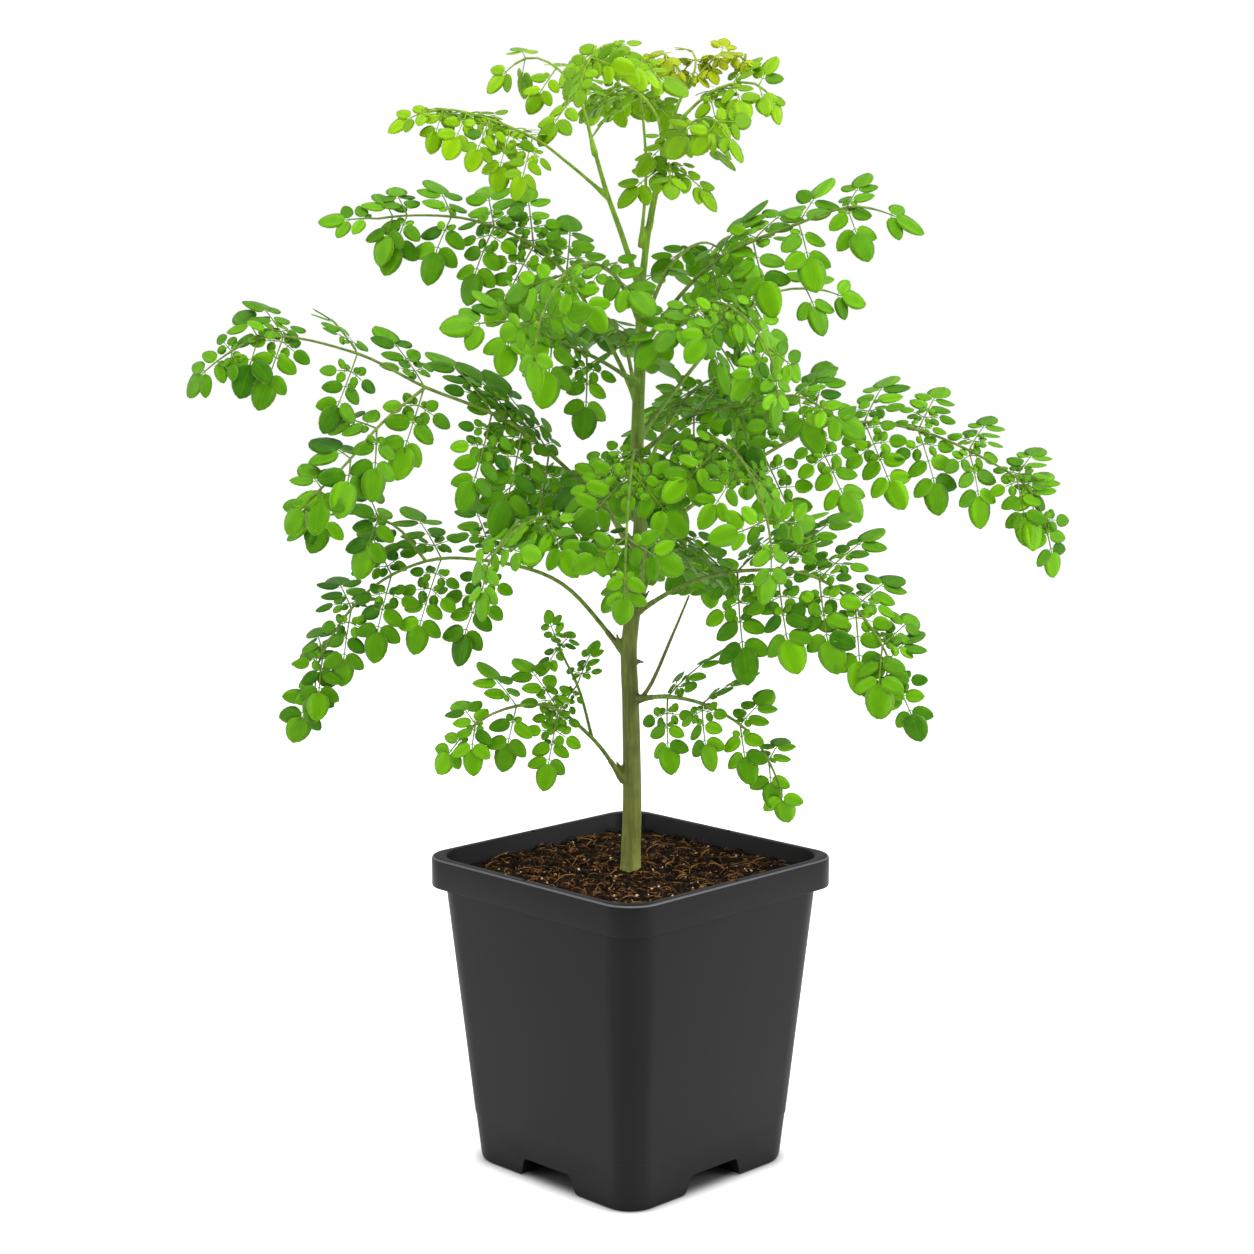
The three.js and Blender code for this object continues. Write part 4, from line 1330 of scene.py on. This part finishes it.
# %% Fill in the branchlets between
FILL_PITCH = {"mature": 24, "fresh": 20}
FILLED = {"mature": 0.22, "fresh": 0.6}
FILL_SHRINK = 0.38
WIDE_GAP = 15
EXTRA_REACH = 0.8
SWING_SHARE = 0.7
SHOOT_FROM = 0.34
SHOOT_PITCH = 8
YOUNG = {"fine": 0.8, "lift": math.radians(-50), "aside": 0.6}


def neighbour_swing(stalk, hand, share):
    """Most of the swing of the nearest branchlet on the same side."""
    known = [s for s in stalk["spots"] if s["hand"] == hand and s["swing"] is not None]
    if not known:
        return 0.0
    return min(known, key=lambda s: abs(s["share"] - share))["swing"] * SWING_SHARE


def extra_spot(stalk, model, share, grow):
    """A spot like another one, elsewhere on the stalk and with a shorter reach."""
    spot = {**model, **station(stalk["path"], share), "share": share}
    spot["reach"] = model["reach"] * grow
    spot["swing"] = neighbour_swing(stalk, model["hand"], share)
    return spot


def filled(stalk, kind):
    """The spots between two, and beyond the last pair where there is room."""
    spots = stalk["spots"]
    more = []
    pairs = [s for s in spots if s["hand"]]
    if len(pairs) == 2:
        return more
    gap = stalk["pitch"] * stalk["length"] / spots[0]["scale"]
    between_two = max(round(gap / FILL_PITCH[kind]) - 1, 0)
    for spot in pairs:
        if spot["outer"] < FILLED[kind]:
            for i in range(between_two):
                part = (i + 1) / (between_two + 1)
                shrink = 1 - FILL_SHRINK * part / (len(pairs) / 2 - 1)
                more.append(extra_spot(stalk, spot, spot["share"] + stalk["pitch"] * part, shrink))
    outermost = max(s["share"] for s in pairs)
    if (stalk["end"] - outermost) * stalk["length"] > WIDE_GAP:
        share = (outermost + stalk["end"]) / 2
        more += [extra_spot(stalk, s, share, EXTRA_REACH) for s in pairs
                 if s["share"] == outermost]
    return more


def budding(stalk):
    """Small hanging leaflets all along a stalk of the shoot."""
    pairs = [s for s in stalk["spots"] if s["hand"]]
    return [{**extra_spot(stalk, s, share, EXTRA_REACH), **YOUNG} for s in pairs
            for share in np.arange(SHOOT_FROM, stalk["end"], SHOOT_PITCH / stalk["length"])]


for one in LEAVES:
    for stalk in plans[one["name"]]:
        for spot in stalk["spots"]:
            if spot["swing"] is None:
                spot["swing"] = neighbour_swing(stalk, spot["hand"], spot["share"])
        if one["kind"] == "young":
            stalk["spots"] += budding(stalk)
        else:
            stalk["spots"] += filled(stalk, one["kind"])
print("branchlets on the plant:", len(all_spots()))

# %% [markdown]
# A branchlet ends in one large leaflet. From there, pairs follow each other back to the stalk. The
# outer pairs are single oval leaflets, often with a small round one behind them, and the inner
# pairs are little twigs. Each length, angle and tint is drawn from a spread round a usual value.

# %% Grow a branchlet
PAIR_PITCH = 11.6
PAIR_LENGTHS = [16.2, 15.2, 12.8, 11.0, 9.8, 8.8]
END_LENGTH = 21.5
END_WIDTH = 0.8
END_GAP = 1.6
SMALL = 8.0
TWIG_FROM = 2
BESIDE = 0.75
FIRST_PAIR_FROM = 2.5
RIB_RADII = [0.62, 0.52, 0.46, 0.4, 0.34]
STALK_STEP = 7
STALK_SWELLING = 0.14


def set_leaflet(kept, at, axis, up, length, width, tint, pitch, roll):
    """Notes a leaflet: where its base is, the way it points and the way its blade faces."""
    axis = unit(axis)
    up = unit(up - axis * (up @ axis))
    aside = np.cross(axis, up)
    axis, up = between(axis, -up, pitch), between(up, axis, pitch)
    aside, up = between(aside, up, roll), between(up, -aside, roll)
    small = length < SMALL
    kept.append({"blade": "small" if small else "large", "tint": tint,
                 "at": at + axis * (0.16 if small else 0.1) * length,
                 "axes": np.array([aside * width, axis * length, up * length])})


def grow_twig(draw, kept, lines, base, axis, ahead, up, size):
    """A little twig with an oval leaflet at its end and a rounder pair on its way."""
    aside = unit(ahead - axis * (ahead @ axis))
    tip = base + axis * size * 0.72 - up * 0.4
    lines.append([(base, 0.34), (base + axis * size * 0.4, 0.3), (tip, 0.26)])
    set_leaflet(kept, tip, axis, up, size, size * draw.uniform(0.72, 0.78), draw.normal(0, 1),
                pitch=draw.normal(0.12, 0.12), roll=draw.normal(0, 0.15))
    for share, small in ((0.34, 0.66), (0.05, 0.5)):
        for hand in (1, -1):
            if share < 0.1 and hand > 0:
                continue
            turn = math.radians(draw.normal(62, 6))
            grown = size * small * draw.uniform(0.9, 1.1)
            set_leaflet(kept, base + axis * size * share, between(axis, aside * hand, turn), up,
                        grown, grown * 0.84, draw.normal(0.1, 1), pitch=draw.normal(0.1, 0.14),
                        roll=draw.normal(0, 0.14))


def grow_pair(spot, draw, kept, lines, x, rank, grow):
    """One pair of leaflets, or nearer the stalk one pair of twigs."""
    at, ahead, left, up = rib_at(spot, heading(spot, spot["swing"]), x)
    for hand in (1, -1):
        angle = math.radians(draw.normal(58 + 7 * rank, 4))
        axis = between(ahead, left * hand, angle)
        size = PAIR_LENGTHS[rank] * grow * draw.uniform(0.92, 1.06)
        base = at + left * hand * 0.3
        if rank >= TWIG_FROM:
            grow_twig(draw, kept, lines, base, axis, ahead, up, size)
            continue
        set_leaflet(kept, base, axis, up, size, size * draw.uniform(0.63, 0.72), draw.normal(0, 1),
                    pitch=draw.normal(0.1, 0.09), roll=hand * draw.normal(0.06, 0.1))
        if rank and draw.uniform() < BESIDE:
            behind = between(-ahead, left * hand, math.radians(draw.normal(50, 8)))
            set_leaflet(kept, base, behind, up, 6.4 * grow, 5.6 * grow, draw.normal(0.2, 1),
                        pitch=draw.normal(0.05, 0.15), roll=draw.normal(0, 0.15))


def grow_branchlet(spot, draw, kept, lines):
    """Leaflets and ribs of one branchlet, in millimetres."""
    spot = {**spot, "swing": spot["swing"] + draw.normal(0, 0.07), "roll": draw.normal(0, 0.16)}
    direction = heading(spot, spot["swing"])
    grow = spot["scale"] * spot["fine"] * draw.uniform(0.88, 1.08) * (1 - 0.12 * spot["outer"])
    last = max(spot["reach"] - (END_LENGTH + END_GAP) * grow, 3)
    thin = math.sqrt(spot["scale"])
    places = (0, last * 0.33, last * 0.66, last, last + 3 * grow)
    lines.append([(rib_at(spot, direction, x)[0], radius * thin)
                  for x, radius in zip(places, RIB_RADII)])
    at, ahead, left, up = rib_at(spot, direction, last + END_GAP * grow)
    set_leaflet(kept, at, ahead + left * draw.normal(0, 0.07), up, END_LENGTH * grow,
                END_LENGTH * END_WIDTH * grow * draw.uniform(0.92, 1.04), draw.normal(0, 1),
                pitch=draw.normal(0.05, 0.08), roll=draw.normal(0, 0.12))
    x, rank = last, 0
    while x > FIRST_PAIR_FROM and rank < len(PAIR_LENGTHS):
        grow_pair(spot, draw, kept, lines, x, rank, grow)
        x -= PAIR_PITCH * grow
        rank += 1


def stalk_line(stalk):
    """The stalk as a line of (point, radius), with a swelling at each pair."""
    count = max(int(stalk["length"] * stalk["end"] / STALK_STEP), 4)
    foot, tip = stalk["foot"] * 0.9, stalk["tip"] * 0.62
    joints = [s["share"] for s in stalk["spots"]]
    for i in range(count + 1):
        share = i / count * stalk["end"]
        near = min(abs(share - j) for j in joints) * stalk["length"]
        swelling = 1 + STALK_SWELLING * (near < 3)
        yield on_path(stalk["path"], share), (foot + (tip - foot) * share ** 0.8) * swelling


# %% [markdown]
# ## Leaf finishes
#
# A leaflet is satin green, with a faint pale midrib and fainter side veins. It is darker along its
# middle, which is painted shade in its fold, and paler along its rim, which is painted light at its
# edge. Seen at a flat angle it has a soft sheen. Light that falls on its far side shines through,
# so part of the shader is translucent. Each leaflet has its own tint, and the leaves at the top are
# younger and yellower.

# %% Leaf material
def leaf_finish(name, deep, bright, glow, painted_edge_light):
    """Green from deep to bright, glowing veins, painted shade mid-blade and painted light at the
    rim.
    """
    finish, shader = new_finish(name, roughness=0.42, specular=0.1)
    spread = add(finish, "UVMap", uv_map="blade").outputs["UV"]
    split = add(finish, "SeparateXYZ", {0: spread})
    aside = calc(finish, "ABSOLUTE", calc(finish, "SUBTRACT", split.outputs["X"], 0.5))
    # The tint holds each leaflet's own tint plus its leaf's painted light and shade.
    tint = add(finish, "Attribute", attribute_name="tint").outputs["Fac"]
    edge = add(finish, "Attribute", attribute_name="inside").outputs["Fac"]
    cloud = noise(finish, place(finish), 160.0, 2.0)
    level = calc(finish, "ADD", tint, calc(finish, "MULTIPLY", cloud, 0.35))
    green = ramp(finish, level, [(0.15, deep), (0.95, bright)])
    # Painted shade: darker towards the middle of the blade.
    painted_mid_shade = blend(finish, fade(finish, aside, 0.0, 0.3, 0.3, 0.0), green, deep)
    # Painted light: paler along the rim of the blade.
    with_edge_light = blend(finish, fade(finish, edge, 0.0, 0.22, 0.45, 0.0), painted_mid_shade, painted_edge_light)
    slant = calc(finish, "MULTIPLY", aside, -1.1)
    ranks = calc(finish, "ADD", split.outputs["Y"], slant)
    veins = calc(finish, "SINE", calc(finish, "MULTIPLY", ranks, 50.0))
    fine = fade(finish, veins, 0.75, 1.0, 0.0, 0.08)
    midrib = fade(finish, aside, 0.01, 0.024, 0.16, 0.0)
    lines = calc(finish, "MAXIMUM", fine, midrib)
    color = blend(finish, lines, with_edge_light, glow)
    link(finish, color, shader, "Base Color")
    shader.inputs["Sheen Weight"].default_value = 0.07
    shader.inputs["Sheen Roughness"].default_value = 0.5
    bump(finish, shader, lines, 0.2, 0.0002)
    through = add(finish, "BsdfTranslucent", {"Color": blend(finish, 0.5, color, glow)})
    mixed = add(finish, "MixShader", {0: 0.3, 1: shader.outputs[0], 2: through.outputs[0]})
    link(finish, mixed.outputs[0], finish.node_tree.nodes["Material Output"], "Surface")
    return finish


FINISHES = {
    "mature": leaf_finish("leaf_green", tone(40, 98, 0), tone(120, 186, 0), tone(150, 208, 10),
                          tone(184, 224, 96)),
    "fresh": leaf_finish("leaf_yellow_green", tone(68, 124, 0), tone(148, 198, 0),
                         tone(180, 218, 10), tone(206, 230, 100)),
    "young": leaf_finish("leaf_olive", tone(128, 150, 2), tone(190, 204, 16), tone(206, 216, 40),
                         tone(216, 222, 96)),
}


def stalk_finish(name, low, high):
    finish, shader = new_finish(name, roughness=0.5, specular=0.15)
    fleck = noise(finish, place(finish), 240.0, 3.0)
    link(finish, ramp(finish, fleck, [(0.3, low), (0.7, high)]), shader, "Base Color")
    bump(finish, shader, fleck, 0.3, 0.0002)
    return finish


STALK_FINISHES = {
    "mature": stalk_finish("stalk_green", tone(66, 90, 26), tone(104, 130, 44)),
    "fresh": stalk_finish("stalk_yellow_green", tone(94, 126, 26), tone(128, 160, 44)),
    "young": stalk_finish("stalk_olive", tone(112, 138, 28), tone(150, 172, 50)),
}
print("leaf finishes:", [finish.name for finish in FINISHES.values()])

# %% [markdown]
# ## Assemble the leaves
#
# The leaflets of a leaf are copies of the ones above, with their own points, in one mesh. Every
# point keeps its leaflet's tint, with its leaf's painted light and shade added, whether it lies on
# the rim, where the finish paints light, and its flat place on the blade, which is what the finish
# draws the midrib, the veins and the painted shade along the middle from.

# %% Leaflets as one mesh
# Painted light and shade per leaf: the leaves on the shaded left, and the right drooping one, are
# darker; low and front ones a little lighter.
LEAF_LIGHT_AND_SHADE = {
    "leaf_left_drooping": -0.18, "leaf_left_long": -0.12, "leaf_right_drooping": -0.08,
    "leaf_low_left": 0.02, "leaf_front_low": 0.02, "leaf_front_right": 0.02,
    "leaf_front_upper_left": 0.06, "leaf_front_upper_right": 0.06, "leaf_left_upper": -0.05,
}
USUAL_TINT = 0.45
TINT_SPREAD = 0.17
FIRST_SEED = 100


def copies_of(blade, kept):
    """The points, faces, tints, rim values and flat places of all copies of one blade."""
    bases = np.array([k["at"] for k in kept])
    axes = np.array([k["axes"] for k in kept])
    size = len(blade["points"])
    points = bases[:, None, :] + np.einsum("pi,kij->kpj", blade["points"], axes)
    faces = blade["faces"][None] + (np.arange(len(kept)) * size)[:, None, None]
    tints = np.repeat([k["tint"] for k in kept], size)
    flat = np.tile(blade["points"][:, :2] + [0.5, 0], (len(kept), 1))
    return (points.reshape(-1, 3), faces.reshape(-1, 4), tints,
            np.tile(blade["inside"], len(kept)), flat)


def leaflet_mesh(name, kept, painted_light_and_shade):
    """All leaflets of a leaf in one mesh: tint with painted light and shade, and place across each
    blade.
    """
    groups = [copies_of(blade, [k for k in kept if k["blade"] == size])
              for size, blade in BLADES.items() if any(k["blade"] == size for k in kept)]
    starts = np.cumsum([0] + [len(g[0]) for g in groups])
    points, tints, inside, flat = (np.concatenate([g[i] for g in groups]) for i in (0, 2, 3, 4))
    faces = np.concatenate([g[1] + start for g, start in zip(groups, starts)])
    mesh = bpy.data.meshes.new(name)
    mesh.from_pydata(into_frame(points).tolist(), [], faces.tolist())
    tints = np.clip(USUAL_TINT + painted_light_and_shade + TINT_SPREAD * tints, 0.02, 0.98)
    for label, values in (("tint", tints), ("inside", inside)):
        mesh.attributes.new(label, "FLOAT", "POINT").data.foreach_set("value", values)
    corners = np.empty(len(mesh.loops), int)
    mesh.loops.foreach_get("vertex_index", corners)
    mesh.uv_layers.new(name="blade").data.foreach_set("uv", flat[corners].ravel())
    return piece_from(name, mesh)


# The count of leaves that carry painted light and shade of their own.
print("leaves with a tint of their own:", len(LEAF_LIGHT_AND_SHADE))

# %% [markdown]
# The stalk and the ribs are drawn as curves with a round bevel. Then they are joined with the
# leaflets into one piece, which stands for that leaf's plain solid.

# %% Assemble
total = 0
for seed, one in enumerate(LEAVES):
    draw = np.random.default_rng(FIRST_SEED + seed)
    kept, ribs = [], []
    for stalk in plans[one["name"]]:
        for spot in stalk["spots"]:
            grow_branchlet(spot, draw, kept, ribs)
    name = one["name"].replace("leaf_", "") + "_leaf"
    leaves = leaflet_mesh(name, kept, LEAF_LIGHT_AND_SHADE.get(one["name"], 0.0))
    set_finishes(leaves, FINISHES[one["kind"]])
    stalk_lines = [stalk_line(stalk) for stalk in plans[one["name"]]]
    for sides, lines in ((8, stalk_lines), (4, ribs)):
        rod = rods("stalks", lines_in_frame(lines), sides)
        set_finishes(rod, STALK_FINISHES[one["kind"]])
        take(leaves)
        rod.select_set(True)
        bpy.ops.object.join()
    take(leaves)
    bpy.ops.object.shade_smooth()
    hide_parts(one["name"])
    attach(leaves, "root")
    total += len(kept)
    print(name, "leaflets:", len(kept), "faces:", faces_of(leaves))
print("leaflets in all:", total)
